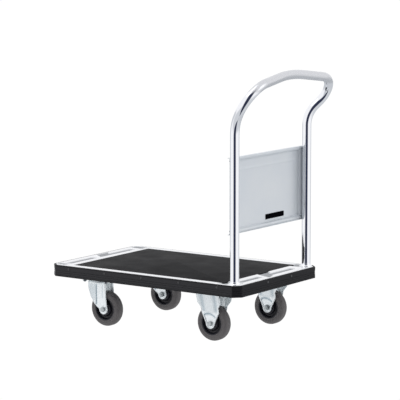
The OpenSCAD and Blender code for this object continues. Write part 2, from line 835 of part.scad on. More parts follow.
module axle_bolt(x, side) {
    nut_side = leg_out + washer_t + axle_r * nut_height + thread_past_nut;
    color("silver") at_axle(x, side) mirrored_y(-side) {
        y_rod(axle_r, -leg_out - eps, nut_side);
        translate([0, -leg_out, 0]) rotate([90, 0, 0]) hex_prism(axle_r, axle_r * head_height);
    }
}

module axle_nut(x, side) {
    color("silver") at_axle(x, side) mirrored_y(-side) translate([0, leg_out, 0])
        rotate([-90, 0, 0]) nut(axle_r);
}

deck_pan();
deck_mat();
bumper();
bumper_rivets();
crossmember(swivel_x);  // front_crossmember
crossmember(rear_x);  // rear_crossmember
stiffener(LEFT);  // left_stiffener
stiffener(RIGHT);  // right_stiffener
handle_tube();
handle_collars();
handle_socket(LEFT);  // left_handle_socket
handle_socket(RIGHT);  // right_handle_socket
handle_bolts();
handle_nuts();
back_panel();
panel_rivets();
name_plate();
rigid_bracket(LEFT);  // rear_left_bracket
rigid_bracket(RIGHT);  // rear_right_bracket
swivel_plate(LEFT);  // front_left_plate
swivel_plate(RIGHT);  // front_right_plate
kingpin(LEFT);  // front_left_kingpin
kingpin(RIGHT);  // front_right_kingpin
caster_bolts();
caster_nuts();
fork(LEFT);  // front_left_fork
fork(RIGHT);  // front_right_fork
swivel_balls(LEFT);  // front_left_swivel_balls
swivel_balls(RIGHT);  // front_right_swivel_balls

for (c = corners) {
    tyre(c[1], c[2]);
    core(c[1], c[2]);
    outer_rings(c[1], c[2]);
    inner_rings(c[1], c[2]);
    sleeve(c[1], c[2]);
    axle_bolt(c[1], c[2]);
    axle_nut(c[1], c[2]);
}
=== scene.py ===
import bpy
import bmesh
import math
import numpy as np
from mathutils import Matrix, Vector


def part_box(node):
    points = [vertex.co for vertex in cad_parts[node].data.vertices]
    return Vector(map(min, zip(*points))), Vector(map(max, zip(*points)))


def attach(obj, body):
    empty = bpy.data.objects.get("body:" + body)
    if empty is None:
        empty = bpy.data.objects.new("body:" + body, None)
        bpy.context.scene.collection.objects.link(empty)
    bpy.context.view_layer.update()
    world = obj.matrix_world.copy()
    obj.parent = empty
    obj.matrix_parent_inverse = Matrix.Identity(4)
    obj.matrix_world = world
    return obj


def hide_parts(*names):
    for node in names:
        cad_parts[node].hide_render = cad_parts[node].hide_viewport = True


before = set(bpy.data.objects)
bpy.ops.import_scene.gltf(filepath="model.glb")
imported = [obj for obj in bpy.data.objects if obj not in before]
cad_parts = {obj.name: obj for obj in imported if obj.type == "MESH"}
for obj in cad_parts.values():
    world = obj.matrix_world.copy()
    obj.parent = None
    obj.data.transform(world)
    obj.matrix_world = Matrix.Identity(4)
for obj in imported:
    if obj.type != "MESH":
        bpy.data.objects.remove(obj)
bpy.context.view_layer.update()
print("truck: frame loaded")

mm = 0.001
sides = {"left": -1, "right": 1}

# places and sizes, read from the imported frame
panLow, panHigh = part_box("deck_pan")
deckX = (panLow.x + panHigh.x) / 2
bumperLow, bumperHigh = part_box("bumper")
halfL = (bumperHigh.x - bumperLow.x) / 2
halfW = (bumperHigh.y - bumperLow.y) / 2
deckTop = panHigh.z
collarLow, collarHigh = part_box("handle_collars")
tubeR = 15.9 * mm
handleX = collarLow.x + (collarHigh.x - collarLow.x) / 2 - deckX
handleY = collarHigh.y - (collarHigh.x - collarLow.x) / 2
corners = {}
for end in ("front", "rear"):
    for side in sides:
        low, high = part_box(end + "_" + side + "_tyre")
        corners[end + "_" + side] = (low + high) / 2



def cosDeg(angle):
    return math.cos(math.radians(angle))


def sinDeg(angle):
    return math.sin(math.radians(angle))


def addObject(name, data):
    piece = bpy.data.objects.new(name, data)
    bpy.context.scene.collection.objects.link(piece)
    return piece


def makePiece(name, verts, faces, sharpAngle=40):
    mesh = bpy.data.meshes.new(name)
    mesh.from_pydata([tuple(map(float, v)) for v in verts], [], faces)
    mesh.validate()
    piece = addObject(name, mesh)
    smoothPiece(piece, sharpAngle)
    return piece


def smoothPiece(piece, sharpAngle=40):
    piece.data.shade_smooth()
    piece.data.set_sharp_from_angle(angle=math.radians(sharpAngle))


def bakePiece(piece):  # modifiers become plain mesh
    bpy.context.view_layer.update()
    evaluated = piece.evaluated_get(bpy.context.evaluated_depsgraph_get())
    mesh = bpy.data.meshes.new_from_object(evaluated)
    piece.modifiers.clear()
    old = piece.data
    piece.data = mesh
    mesh.name = piece.name
    bpy.data.meshes.remove(old)
    return piece


def turnOutwards(piece):
    bm = bmesh.new()
    bm.from_mesh(piece.data)
    bmesh.ops.remove_doubles(bm, verts=bm.verts, dist=1e-6)
    bmesh.ops.recalc_face_normals(bm, faces=bm.faces)
    bm.to_mesh(piece.data)
    bm.free()


def thicken(piece, thickness, sharpAngle):  # inwards from the modelled face
    wall = piece.modifiers.new("wall", "SOLIDIFY")
    wall.thickness = thickness
    wall.offset = -1
    bakePiece(piece)
    smoothPiece(piece, sharpAngle)


def joinPieces(name, pieces):
    verts, faces, shades, start = [], [], [], 0
    for piece in pieces:
        stored = piece.data.attributes.get("sunk")
        shades += [v.value for v in stored.data] if stored else [0.0] * len(piece.data.vertices)
        verts += [piece.matrix_world @ v.co for v in piece.data.vertices]
        faces += [[start + i for i in face.vertices] for face in piece.data.polygons]
        start = len(verts)
        bpy.data.objects.remove(piece)
    joined = makePiece(name, verts, faces)
    if any(shades):
        joined.data.attributes.new("sunk", "FLOAT", "POINT").data.foreach_set("value", shades)
    return joined


def gridFaces(nu, nv, closeU=False, closeV=False):
    faces = []
    for i in range(nu if closeU else nu - 1):
        for j in range(nv if closeV else nv - 1):
            a, b = i * nv, ((i + 1) % nu) * nv
            k = (j + 1) % nv
            faces.append((a + j, b + j, b + k, a + k))
    return faces


def turnProfile(name, profile, centre, steps=96, sharpAngle=40, closed=True):
    # a profile of (radius, offset along Y), turned around Y
    points = np.array(profile, float)
    angles = np.linspace(0, 2 * math.pi, steps, endpoint=False)
    verts = [(centre.x + r * math.cos(a), centre.y + y, centre.z + r * math.sin(a))
             for a in angles for r, y in points]
    piece = makePiece(name, verts, gridFaces(steps, len(points), True, closed), sharpAngle)
    turnOutwards(piece)
    smoothPiece(piece, sharpAngle)
    return piece


def standProfile(name, profile, centre, steps=64, sharpAngle=40):
    # a profile of (radius, height), turned around Z; radii of zero are closed by merging
    angles = np.linspace(0, 2 * math.pi, steps, endpoint=False)
    verts = [(centre[0] + r * math.cos(a), centre[1] + r * math.sin(a), centre[2] + z)
             for a in angles for r, z in profile]
    piece = makePiece(name, verts, gridFaces(steps, len(profile), True, profile[0][0] > 0), sharpAngle)
    turnOutwards(piece)
    smoothPiece(piece, sharpAngle)
    return piece


def smoothStep(x, low, high):
    t = np.clip((np.asarray(x, float) - low) / (high - low), 0, 1)
    return t * t * (3 - 2 * t)


def between(x, start, full, fading, end):  # rises from start to full, falls from fading to end
    return smoothStep(x, start, full) * (1 - smoothStep(x, fading, end))


def bell(x, centre, width):
    return np.exp(-((x - centre) / width) ** 2)


def inMm(points):
    return [(a * mm, b * mm) for a, b in points]


def boxDistance(u, v, u0, u1, v0, v1, radius=0.0):
    du = np.abs(u - (u0 + u1) / 2) - ((u1 - u0) / 2 - radius)
    dv = np.abs(v - (v0 + v1) / 2) - ((v1 - v0) / 2 - radius)
    return np.hypot(np.maximum(du, 0), np.maximum(dv, 0)) + np.minimum(np.maximum(du, dv), 0) - radius


def polyDistance(u, v, points):  # of a convex outline that runs counter-clockwise
    d = np.full(np.broadcast(u, v).shape, -1e9)
    for (ax, ay), (bx, by) in zip(points, points[1:] + points[:1]):
        length = math.hypot(bx - ax, by - ay)
        d = np.maximum(d, ((u - ax) * (by - ay) - (v - ay) * (bx - ax)) / length)
    return d



def newMaterial(name):
    material = bpy.data.materials.new(name)
    material.use_nodes = True
    nodes = material.node_tree.nodes
    nodes.clear()
    output = nodes.new("ShaderNodeOutputMaterial")
    shader = nodes.new("ShaderNodeBsdfPrincipled")
    material.node_tree.links.new(shader.outputs[0], output.inputs[0])
    return material, material.node_tree, shader


def groupSockets(tree, entries):
    for name, kind, way, value in entries:
        socket = tree.interface.new_socket(name=name, in_out=way, socket_type=kind)
        if value is not None:
            socket.default_value = value


def addNode(tree, kind, values=None, links=None, **settings):
    node = tree.nodes.new(kind)
    for key, value in settings.items():
        setattr(node, key, value)
    for key, value in (values or {}).items():
        node.inputs[key].default_value = value
    for key, source in (links or {}).items():
        tree.links.new(source, node.inputs[key])
    return node


def rampNode(tree, source, start, end, **more):
    return addNode(tree, "ShaderNodeMapRange", {"From Min": start, "From Max": end}, {"Value": source},
                   **more).outputs[0]


def productNode(tree, one, other):
    return addNode(tree, "ShaderNodeMath", None, {0: one, 1: other}, operation="MULTIPLY").outputs[0]


def makeSurfaceGroup():
    # cloudy tone and fine grain on Object coordinates: colour, roughness and height
    tree = bpy.data.node_groups.new("surfaceTone", "ShaderNodeTree")
    groupSockets(tree, [
        ("Colour", "NodeSocketColor", "INPUT", (0.5, 0.5, 0.5, 1)),
        ("Second Colour", "NodeSocketColor", "INPUT", (0.4, 0.4, 0.4, 1)),
        ("Cloud Scale", "NodeSocketFloat", "INPUT", 12.0),
        ("Cloud Amount", "NodeSocketFloat", "INPUT", 0.5),
        ("Grain Scale", "NodeSocketFloat", "INPUT", 900.0),
        ("Grain Stretch", "NodeSocketVector", "INPUT", (1, 1, 1)),
        ("Roughness Low", "NodeSocketFloat", "INPUT", 0.3),
        ("Roughness High", "NodeSocketFloat", "INPUT", 0.45),
        ("Colour", "NodeSocketColor", "OUTPUT", None),
        ("Roughness", "NodeSocketFloat", "OUTPUT", None),
        ("Height", "NodeSocketFloat", "OUTPUT", None)])
    given = addNode(tree, "NodeGroupInput")
    out = addNode(tree, "NodeGroupOutput")
    coords = addNode(tree, "ShaderNodeTexCoord")
    cloud = addNode(tree, "ShaderNodeTexNoise", {"Detail": 4.0, "Roughness": 0.6},
                    {"Vector": coords.outputs["Object"], "Scale": given.outputs["Cloud Scale"]})
    stretch = addNode(tree, "ShaderNodeVectorMath", None,
                      {0: coords.outputs["Object"], 1: given.outputs["Grain Stretch"]}, operation="MULTIPLY")
    grain = addNode(tree, "ShaderNodeTexNoise", {"Detail": 2.0},
                    {"Vector": stretch.outputs[0], "Scale": given.outputs["Grain Scale"]})
    contrast = rampNode(tree, cloud.outputs["Fac"], 0.35, 0.65)
    share = productNode(tree, contrast, given.outputs["Cloud Amount"])
    mixed = addNode(tree, "ShaderNodeMix", None,
                    {0: share, 6: given.outputs["Colour"], 7: given.outputs["Second Colour"]},
                    data_type="RGBA")
    both = addNode(tree, "ShaderNodeMath", {1: 0.5}, {0: grain.outputs["Fac"]}, operation="MULTIPLY")
    half = addNode(tree, "ShaderNodeMath", {1: 0.5}, {0: contrast, 2: both.outputs[0]},
                   operation="MULTIPLY_ADD")
    rough = addNode(tree, "ShaderNodeMapRange", {"From Min": 0.1, "From Max": 0.8},
                    {"Value": half.outputs[0], "To Min": given.outputs["Roughness Low"],
                     "To Max": given.outputs["Roughness High"]})
    tree.links.new(mixed.outputs[2], out.inputs["Colour"])
    tree.links.new(rough.outputs[0], out.inputs["Roughness"])
    tree.links.new(grain.outputs["Fac"], out.inputs["Height"])
    return tree


def makeDustGroup():
    # pale dust where the surface faces up, broken by noise
    tree = bpy.data.node_groups.new("settledDust", "ShaderNodeTree")
    groupSockets(tree, [
        ("Colour", "NodeSocketColor", "INPUT", (0.1, 0.1, 0.1, 1)),
        ("Dust Colour", "NodeSocketColor", "INPUT", (0.45, 0.43, 0.4, 1)),
        ("Amount", "NodeSocketFloat", "INPUT", 0.1),
        ("Scale", "NodeSocketFloat", "INPUT", 40.0),
        ("Colour", "NodeSocketColor", "OUTPUT", None)])
    given = addNode(tree, "NodeGroupInput")
    out = addNode(tree, "NodeGroupOutput")
    coords = addNode(tree, "ShaderNodeTexCoord")
    up = addNode(tree, "ShaderNodeSeparateXYZ", None, {0: coords.outputs["Normal"]})
    facing = rampNode(tree, up.outputs[2], 0.2, 0.95)
    noise = addNode(tree, "ShaderNodeTexNoise", {"Detail": 5.0, "Roughness": 0.65},
                    {"Vector": coords.outputs["Object"], "Scale": given.outputs["Scale"]})
    patches = rampNode(tree, noise.outputs["Fac"], 0.4, 0.75)
    share = productNode(tree, productNode(tree, facing, patches), given.outputs["Amount"])
    mixed = addNode(tree, "ShaderNodeMix", None,
                    {0: share, 6: given.outputs["Colour"], 7: given.outputs["Dust Colour"]},
                    data_type="RGBA")
    tree.links.new(mixed.outputs[2], out.inputs["Colour"])
    return tree


surfaceGroup = makeSurfaceGroup()
dustGroup = makeDustGroup()

finishDefaults = dict(stretch=(1, 1, 1), metallic=0.0, dust=0.0, specular=0.5, zones=[])
finishes = {
    "deckSteel": dict(colour=(0.86, 0.87, 0.88), second=(0.76, 0.78, 0.8), cloud=22, amount=0.25,
                      grain=500, stretch=(1, 6, 1), rough=(0.1, 0.18), metallic=0.95, bump=0.012,
                      dust=0.02,
                      # painted shade darkens the pressed valleys, grooves and pockets of the deck
                      zones=[(1.0, (0.3, 0.315, 0.33), 0.42)]),
    "matRubber": dict(colour=(0.0125, 0.0125, 0.0135), second=(0.0145, 0.0145, 0.0152), cloud=9,
                      amount=0.5, grain=700, rough=(0.62, 0.8), bump=0.2, specular=0.08),
    "bumperRubber": dict(colour=(0.022, 0.022, 0.025), second=(0.029, 0.029, 0.032), cloud=30, amount=0.5,
                         grain=420, stretch=(0.15, 0.15, 2.5), rough=(0.38, 0.55), bump=0.12, specular=0.2,
                         # painted shade: darker bands along the top edge and below the lowest groove, and a
                         # darker handle end
                         zones=[([(2, 0.2092, 0.2112, False)], (0.006, 0.006, 0.008), 0.5),
                                ([(2, 0.1792, 0.1772, False)], (0.009, 0.009, 0.011), 0.5),
                                ([(0, 0.343, 0.347, False)], (0.007, 0.007, 0.009), 0.6)]),
    "rivetSteel": dict(colour=(0.03, 0.03, 0.033), second=(0.05, 0.05, 0.053), cloud=200, amount=0.6,
                       grain=900, rough=(0.25, 0.4), metallic=0.2, bump=0.05),
    "frameSteel": dict(colour=(0.42, 0.44, 0.46), second=(0.52, 0.54, 0.55), cloud=26, amount=0.7,
                       grain=600, rough=(0.4, 0.58), metallic=0.5, bump=0.08, dust=0.1),
    "chromeTube": dict(colour=(0.9, 0.91, 0.93), second=(0.86, 0.87, 0.9), cloud=18, amount=0.15,
                       grain=600, rough=(0.04, 0.07), metallic=1.0, bump=0.004,
                       zones=[([(2, 0.868, 0.878, False), (1, 0.29, 0.27, True)], (0.66, 0.67, 0.69), 0.3)]),
    "panelMetal": dict(colour=(0.66, 0.7, 0.735), second=(0.72, 0.75, 0.765), cloud=5, amount=0.7,
                       grain=800, rough=(0.3, 0.42), metallic=0.25, bump=0.03),
    "plateBlack": dict(colour=(0.002, 0.002, 0.003), second=(0.003, 0.003, 0.004), cloud=60, amount=0.5,
                       grain=1200, rough=(0.5, 0.6), bump=0.01, specular=0.0),
    "zincSteel": dict(colour=(0.93, 0.97, 0.98), second=(0.84, 0.9, 0.93), cloud=28, amount=0.35,
                      grain=420, stretch=(1, 1, 0.35), rough=(0.16, 0.26), metallic=0.45, bump=0.006,
                      # painted shade in the pressed creases and flutes of the forks and brackets, and along
                      # the bracket step
                      zones=[(0.95, (0.34, 0.44, 0.5), 0.4)]),
    "fastenerZinc": dict(colour=(0.5, 0.53, 0.53), second=(0.36, 0.39, 0.4), cloud=120, amount=0.6,
                         grain=900, rough=(0.24, 0.4), metallic=0.95, bump=0.05),
    "tyreRubber": dict(colour=(0.104, 0.097, 0.099), second=(0.125, 0.118, 0.119), cloud=35, amount=0.7,
                       grain=700, rough=(0.5, 0.68), bump=0.15, specular=0.3),
    "corePlastic": dict(colour=(0.012, 0.012, 0.017), second=(0.022, 0.022, 0.03), cloud=60, amount=0.6,
                        grain=800, rough=(0.3, 0.45), bump=0.08, specular=0.4),
    "bearingSteel": dict(colour=(0.58, 0.58, 0.6), second=(0.48, 0.48, 0.5), cloud=150, amount=0.5,
                         grain=1500, rough=(0.15, 0.25), metallic=1.0, bump=0.02),
}


def paintedShadeMask(tree, share):
    # painted shade: the pieces store how deep each point is pressed in, and that weight darkens the colour of
    # the pressings
    stored = addNode(tree, "ShaderNodeAttribute", attribute_name="sunk")
    return addNode(tree, "ShaderNodeMath", {1: share}, {0: stored.outputs["Fac"]},
                   operation="MULTIPLY").outputs[0]


def zoneMask(tree, zone):
    # 1 past every limit of the zone, each as (axis, start, end, both sides)
    coords = addNode(tree, "ShaderNodeTexCoord")
    place = addNode(tree, "ShaderNodeSeparateXYZ", None, {0: coords.outputs["Object"]})
    mask = None
    for axis, start, end, both in zone:
        value = place.outputs[axis]
        if both:
            value = addNode(tree, "ShaderNodeMath", None, {0: value}, operation="ABSOLUTE").outputs[0]
        step = rampNode(tree, value, start, end, interpolation_type="SMOOTHSTEP")
        mask = productNode(tree, mask, step) if mask else step
    return mask


def buildFinish(name, given):
    spec = {**finishDefaults, **given}
    material, tree, shader = newMaterial(name)
    tone = addNode(tree, "ShaderNodeGroup", node_tree=surfaceGroup)
    for socket, value in (("Colour", (*spec["colour"], 1)), ("Second Colour", (*spec["second"], 1)),
                          ("Cloud Scale", spec["cloud"]), ("Cloud Amount", spec["amount"]),
                          ("Grain Scale", spec["grain"]), ("Grain Stretch", spec["stretch"]),
                          ("Roughness Low", spec["rough"][0]), ("Roughness High", spec["rough"][1])):
        tone.inputs[socket].default_value = value
    colour = tone.outputs["Colour"]
    if spec["dust"]:
        dust = addNode(tree, "ShaderNodeGroup", node_tree=dustGroup)
        dust.inputs["Amount"].default_value = spec["dust"]
        tree.links.new(colour, dust.inputs["Colour"])
        colour = dust.outputs["Colour"]
    rough = tone.outputs["Roughness"]
    # each zone mixes in its own colour and roughness: painted shade in the pressings and on the bumper, and
    # the satin crossbar
    for zone, zoneColour, zoneRough in spec["zones"]:
        mask = paintedShadeMask(tree, zone) if isinstance(zone, float) else zoneMask(tree, zone)
        colour = addNode(tree, "ShaderNodeMix", {7: (*zoneColour, 1)}, {0: mask, 6: colour},
                         data_type="RGBA").outputs[2]
        rough = addNode(tree, "ShaderNodeMix", {3: zoneRough}, {0: mask, 2: rough}).outputs[0]
    tree.links.new(colour, shader.inputs["Base Color"])
    tree.links.new(rough, shader.inputs["Roughness"])
    bump = addNode(tree, "ShaderNodeBump", {"Strength": spec["bump"], "Distance": 0.0006},
                   {"Height": tone.outputs["Height"]})
    tree.links.new(bump.outputs[0], shader.inputs["Normal"])
    shader.inputs["Metallic"].default_value = spec["metallic"]
    shader.inputs["Specular IOR Level"].default_value = spec["specular"]
    return material


materials = {name: buildFinish(name, spec) for name, spec in finishes.items()}
print("truck: materials made")


def finishPiece(piece, material, body, *nodes):
    piece.data.materials.clear()
    piece.data.materials.append(materials[material])
    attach(piece, body)
    if nodes:
        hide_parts(*nodes)
    return piece



def newTree(name, entries):
    tree = bpy.data.node_groups.new(name, "GeometryNodeTree")
    groupSockets(tree, [("Geometry", "NodeSocketGeometry", "INPUT", None)] + entries
                 + [("Geometry", "NodeSocketGeometry", "OUTPUT", None)])
    return tree, addNode(tree, "NodeGroupInput"), addNode(tree, "NodeGroupOutput")


def socketId(tree, name):
    for item in tree.interface.items_tree:
        if item.item_type == "SOCKET" and item.in_out == "INPUT" and item.name == name:
            return item.identifier


def runTree(piece, tree, values):
    modifier = piece.modifiers.new(tree.name, "NODES")
    modifier.node_group = tree
    for name, value in values.items():
        modifier[socketId(tree, name)] = value
    return bakePiece(piece)


def makeSweepTree():  # a round tube along a line of points
    tree, given, out = newTree("sweepTube", [("Tube Radius", "NodeSocketFloat", "INPUT", 0.016),
                                             ("Sides", "NodeSocketInt", "INPUT", 48),
                                             ("Finish", "NodeSocketMaterial", "INPUT", None)])
    line = addNode(tree, "GeometryNodeMeshToCurve", None, {0: given.outputs["Geometry"]})
    ring = addNode(tree, "GeometryNodeCurvePrimitiveCircle", None,
                   {"Radius": given.outputs["Tube Radius"], "Resolution": given.outputs["Sides"]})
    tube = addNode(tree, "GeometryNodeCurveToMesh", {"Fill Caps": True},
                   {"Curve": line.outputs[0], "Profile Curve": ring.outputs[0]})
    real = addNode(tree, "GeometryNodeRealizeInstances", None, {0: tube.outputs[0]})
    paint = addNode(tree, "GeometryNodeSetMaterial", None,
                    {"Geometry": real.outputs[0], "Material": given.outputs["Finish"]})
    tree.links.new(paint.outputs[0], out.inputs[0])
    return tree


def makeScatterTree():  # a copy of a part on each point, its Z along the point's own axis
    tree, given, out = newTree("placeParts", [("Part", "NodeSocketObject", "INPUT", None),
                                              ("Size", "NodeSocketFloat", "INPUT", 1.0),
                                              ("Turn Spread", "NodeSocketFloat", "INPUT", 0.0),
                                              ("Seed", "NodeSocketInt", "INPUT", 3),
                                              ("Finish", "NodeSocketMaterial", "INPUT", None)])
    part = addNode(tree, "GeometryNodeObjectInfo", {"As Instance": True}, {"Object": given.outputs["Part"]})
    axis = addNode(tree, "GeometryNodeInputNamedAttribute", {"Name": "axis"}, data_type="FLOAT_VECTOR")
    along = addNode(tree, "FunctionNodeAlignRotationToVector", None, {"Vector": axis.outputs[0]}, axis="Z")
    spin = addNode(tree, "FunctionNodeRandomValue", None,
                   {3: given.outputs["Turn Spread"], "Seed": given.outputs["Seed"]}, data_type="FLOAT")
    own = addNode(tree, "FunctionNodeAxisAngleToRotation", {"Axis": (0, 0, 1)}, {"Angle": spin.outputs[1]})
    turned = addNode(tree, "FunctionNodeRotateRotation", None,
                     {"Rotation": along.outputs[0], "Rotate By": own.outputs[0]}, rotation_space="LOCAL")
    points = addNode(tree, "GeometryNodeMeshToPoints", None, {0: given.outputs["Geometry"]})
    placed = addNode(tree, "GeometryNodeInstanceOnPoints", None,
                     {"Points": points.outputs[0], "Instance": part.outputs["Geometry"],
                      "Rotation": turned.outputs[0], "Scale": given.outputs["Size"]})
    real = addNode(tree, "GeometryNodeRealizeInstances", None, {0: placed.outputs[0]})
    paint = addNode(tree, "GeometryNodeSetMaterial", None,
                    {"Geometry": real.outputs[0], "Material": given.outputs["Finish"]})
    tree.links.new(paint.outputs[0], out.inputs[0])
    return tree


sweepTree = makeSweepTree()
scatterTree = makeScatterTree()


def scatterParts(name, part, places, material, turnSpread=0.0, seed=3):
    # places are (point, axis); part is a small mesh with its seat at the origin
    mesh = bpy.data.meshes.new(name)
    mesh.from_pydata([tuple(p) for p, axis in places], [], [])
    attribute = mesh.attributes.new("axis", "FLOAT_VECTOR", "POINT")
    attribute.data.foreach_set("vector", np.array([tuple(axis) for p, axis in places], np.float32).ravel())
    piece = addObject(name, mesh)
    runTree(piece, scatterTree, {"Part": part, "Size": 1.0, "Turn Spread": turnSpread, "Seed": seed,
                                 "Finish": materials[material]})
    smoothPiece(piece, 35)
    return piece


def domedHead(radius, height, shankR, shankL):
    profile = [(0, height)]
    profile += [(radius * sinDeg(a), height * cosDeg(a)) for a in range(12, 91, 13)]
    profile += [(radius, 0), (shankR, 0), (shankR, -shankL), (0, -shankL)]
    return standProfile("domedHead", profile, (0, 0, 0), 20)


def hexPart(name, radius, z0, z1, chamfer=0.16, hole=0.0, washerR=0.0, washerT=0.0, shankR=0.0, shankLow=0.0,
            shankHigh=0.0):
    # a hexagon head or nut with turned corners, its washer below and its shank along Z
    steps = 48
    heights = [(z0, 1 - chamfer * 0.5), (z0 + radius * 0.08, 1), (z1 - radius * chamfer, 1),
               (z1, 1 - chamfer)]
    parts, verts = [], []
    for z, grow in heights:
        for k in range(steps):
            a = 2 * math.pi * k / steps
            flat = radius * math.cos(math.pi / 6) / math.cos((a % (math.pi / 3)) - math.pi / 6)
            limit = radius * grow
            r = min(flat, limit)
            verts.append((r * math.cos(a), r * math.sin(a), z))
    faces = [tuple(reversed(f)) for f in gridFaces(len(heights), steps, False, True)]
    faces += [tuple(range(steps))[::-1], tuple(range(steps * (len(heights) - 1), steps * len(heights)))]
    parts.append(makePiece(name + "Hex", verts, faces))
    if washerT:
        edge = washerT * 0.3
        profile = [(hole, z0 - washerT), (washerR - edge, z0 - washerT), (washerR, z0 - washerT + edge),
                   (washerR, z0 - edge), (washerR - edge, z0), (hole, z0)]
        parts.append(standProfile(name + "Washer", profile, (0, 0, 0), 32))
    if shankR:
        tip = min(0.8 * mm, shankR * 0.3)
        profile = [(0, shankLow), (shankR - tip, shankLow), (shankR, shankLow + tip),
                   (shankR, shankHigh - tip), (shankR - tip, shankHigh), (0, shankHigh)]
        parts.append(standProfile(name + "Shank", profile, (0, 0, 0), 24))
    return joinPieces(name, parts)



deckSizes = dict(bumper=7 * mm, rimRound=3 * mm, wall=1.6 * mm, endMargin=82.6 * mm, sideMargin=34.3 * mm,
                 cornerCut=25 * mm, trayDepth=5.0 * mm, trayRound=9 * mm, valleyDepth=3.2 * mm,
                 grooveDepth=4.0 * mm, grooveRound=8 * mm, pocketRound=7 * mm, matDrop=1.1 * mm,
                 matBottom=4.8 * mm, matGap=1.0 * mm, skirt=37 * mm)
# pressings in millimetres from the deck's middle: long grooves, a slanted valley and corner pockets
bands = {"rear": dict(grooves=[(350, 373, -188, -56), (350, 373, -14, 156)],
                      valley=[(318, -14), (392, -46), (384, -12), (318, 60)],
                      pockets=[(318, 388, 196, 246), (318, 388, -246, -200)]),
         "front": dict(grooves=[(-373, -350, -208, -54), (-373, -350, 2, 176)],
                       valley=[(-394, 2), (-350, -32), (-350, 22), (-394, 66)],
                       pockets=[(-392, -338, 204, 242), (-392, -352, -240, -216)])}


def bandRelief(x, y):
    d = deckSizes
    trayX, trayY = halfL - d["endMargin"] + d["matGap"], halfW - d["sideMargin"] + d["matGap"]
    toTray = boxDistance(x, y, -trayX, trayX, -trayY, trayY, d["trayRound"])
    depth = (1 - smoothStep(toTray, -1.5 * mm, 1.2 * mm)) * d["trayDepth"]
    # the second result is the painted shade for the pressed valleys, grooves and pockets
    sunk = np.zeros_like(depth)
    toUpright = np.hypot(x - handleX, np.abs(y) - handleY)
    for band in bands.values():
        shapes = [(boxDistance(x, y, *(v * mm for v in box), d["grooveRound"]), -4 * mm, 1.5 * mm, 1,
                   d["grooveDepth"]) for box in band["grooves"]]
        shapes.append((polyDistance(x, y, inMm(band["valley"])), -3.5 * mm, 2 * mm, 1, d["valleyDepth"]))
        shapes += [(boxDistance(x, y, *(v * mm for v in box), d["pocketRound"]), -3.5 * mm, 2 * mm,
                    smoothStep(toUpright, 23 * mm, 29 * mm), d["valleyDepth"]) for box in band["pockets"]]
        for away, full, end, share, deep in shapes:
            cut = (1 - smoothStep(away, full, end)) * share
            depth, sunk = np.maximum(depth, cut * deep), np.maximum(sunk, cut)
    return -depth, sunk


def outlineNormals():
    # the octagon's sides as (nx, ny, distance from the middle)
    cut = halfL + halfW - deckSizes["cornerCut"]
    diagonal = math.sqrt(0.5)
    sidesOut = []
    for k, (nx, ny, far) in enumerate([(1, 0, halfL), (1, 1, cut), (0, 1, halfW), (-1, 1, cut),
                                       (-1, 0, halfL), (-1, -1, cut), (0, -1, halfW), (1, -1, cut)]):
        scale = diagonal if k % 2 else 1
        sidesOut.append((nx * scale, ny * scale, far * scale))
    return sidesOut


def buildDeckPan():
    d = deckSizes
    inset = d["bumper"] + d["rimRound"]
    step = 2.6 * mm
    endX, endY = halfL - inset, halfW - inset
    inner = halfL - d["endMargin"] - 6 * mm
    sideY = halfW - d["sideMargin"] - 6 * mm
    # fine rows at both ends, wider ones between
    endXs, endYs = np.arange(-endX, -inner, step), np.arange(-endY, -sideY, step)
    xs = np.concatenate([endXs, np.linspace(-inner, inner, 26), -endXs[::-1]])
    ys = np.concatenate([endYs, np.linspace(-sideY, sideY, 150), -endYs[::-1]])
    gx, gy = np.meshgrid(xs, ys, indexing="ij")
    relief, sunk = bandRelief(gx, gy)
    gz = deckTop + relief
    bm = bmesh.new()
    # each point carries the painted shade of its pressing
    shade = bm.verts.layers.float.new("sunk")
    verts = [bm.verts.new(v) for v in zip(gx.ravel(), gy.ravel(), gz.ravel())]
    for v, value in zip(verts, sunk.ravel()):
        v[shade] = float(value)
    for f in gridFaces(len(xs), len(ys)):
        bm.faces.new([verts[i] for i in f])
    outline = outlineNormals()
    for nx, ny, far in outline[1::2]:
        bmesh.ops.bisect_plane(bm, geom=bm.verts[:] + bm.edges[:] + bm.faces[:], dist=1e-7,
                               plane_co=(nx * (far - inset), ny * (far - inset), 0), plane_no=(nx, ny, 0),
                               clear_outer=True)
    bmesh.ops.remove_doubles(bm, verts=bm.verts, dist=1e-6)
    # rings of the rounded rim and the skirt, pushed out square to each side
    edge = [v for v in bm.verts if v.is_boundary]
    outward = {}
    for v in edge:
        on = [(nx, ny) for nx, ny, far in outline if abs(v.co.x * nx + v.co.y * ny - (far - inset)) < 5e-6]
        if len(on) == 1:
            outward[v] = on[0]
        else:
            (ax, ay), (bx, by) = on[:2]
            k = 1 + ax * bx + ay * by
            outward[v] = ((ax + bx) / k, (ay + by) / k)
    r = d["rimRound"]
    rings = [(r * sinDeg(a), -r * (1 - cosDeg(a))) for a in (18, 36, 54, 72, 90)]
    rings += [(r, -d["skirt"] * 0.5), (r, -d["skirt"])]
    loop = [e for e in bm.edges if e.is_boundary]
    last = {v: v for v in edge}
    base = {v: v.co.copy() for v in edge}
    for out, down in rings:
        now = {v: bm.verts.new((base[v].x + outward[v][0] * out, base[v].y + outward[v][1] * out,
                                deckTop + down)) for v in edge}
        for e in loop:
            a, b = e.verts
            bm.faces.new((last[a], last[b], now[b], now[a]))
        last = now
    bmesh.ops.recalc_face_normals(bm, faces=bm.faces)
    if sum(f.normal.z * f.calc_area() for f in bm.faces) < 0:
        bmesh.ops.reverse_faces(bm, faces=bm.faces)
    bmesh.ops.translate(bm, verts=bm.verts, vec=(deckX, 0, 0))
    mesh = bpy.data.meshes.new("deckPan")
    bm.to_mesh(mesh)
    bm.free()
    piece = addObject("deckPan", mesh)
    thicken(piece, d["wall"], 50)
    return finishPiece(piece, "deckSteel", "chassis", "deck_pan")


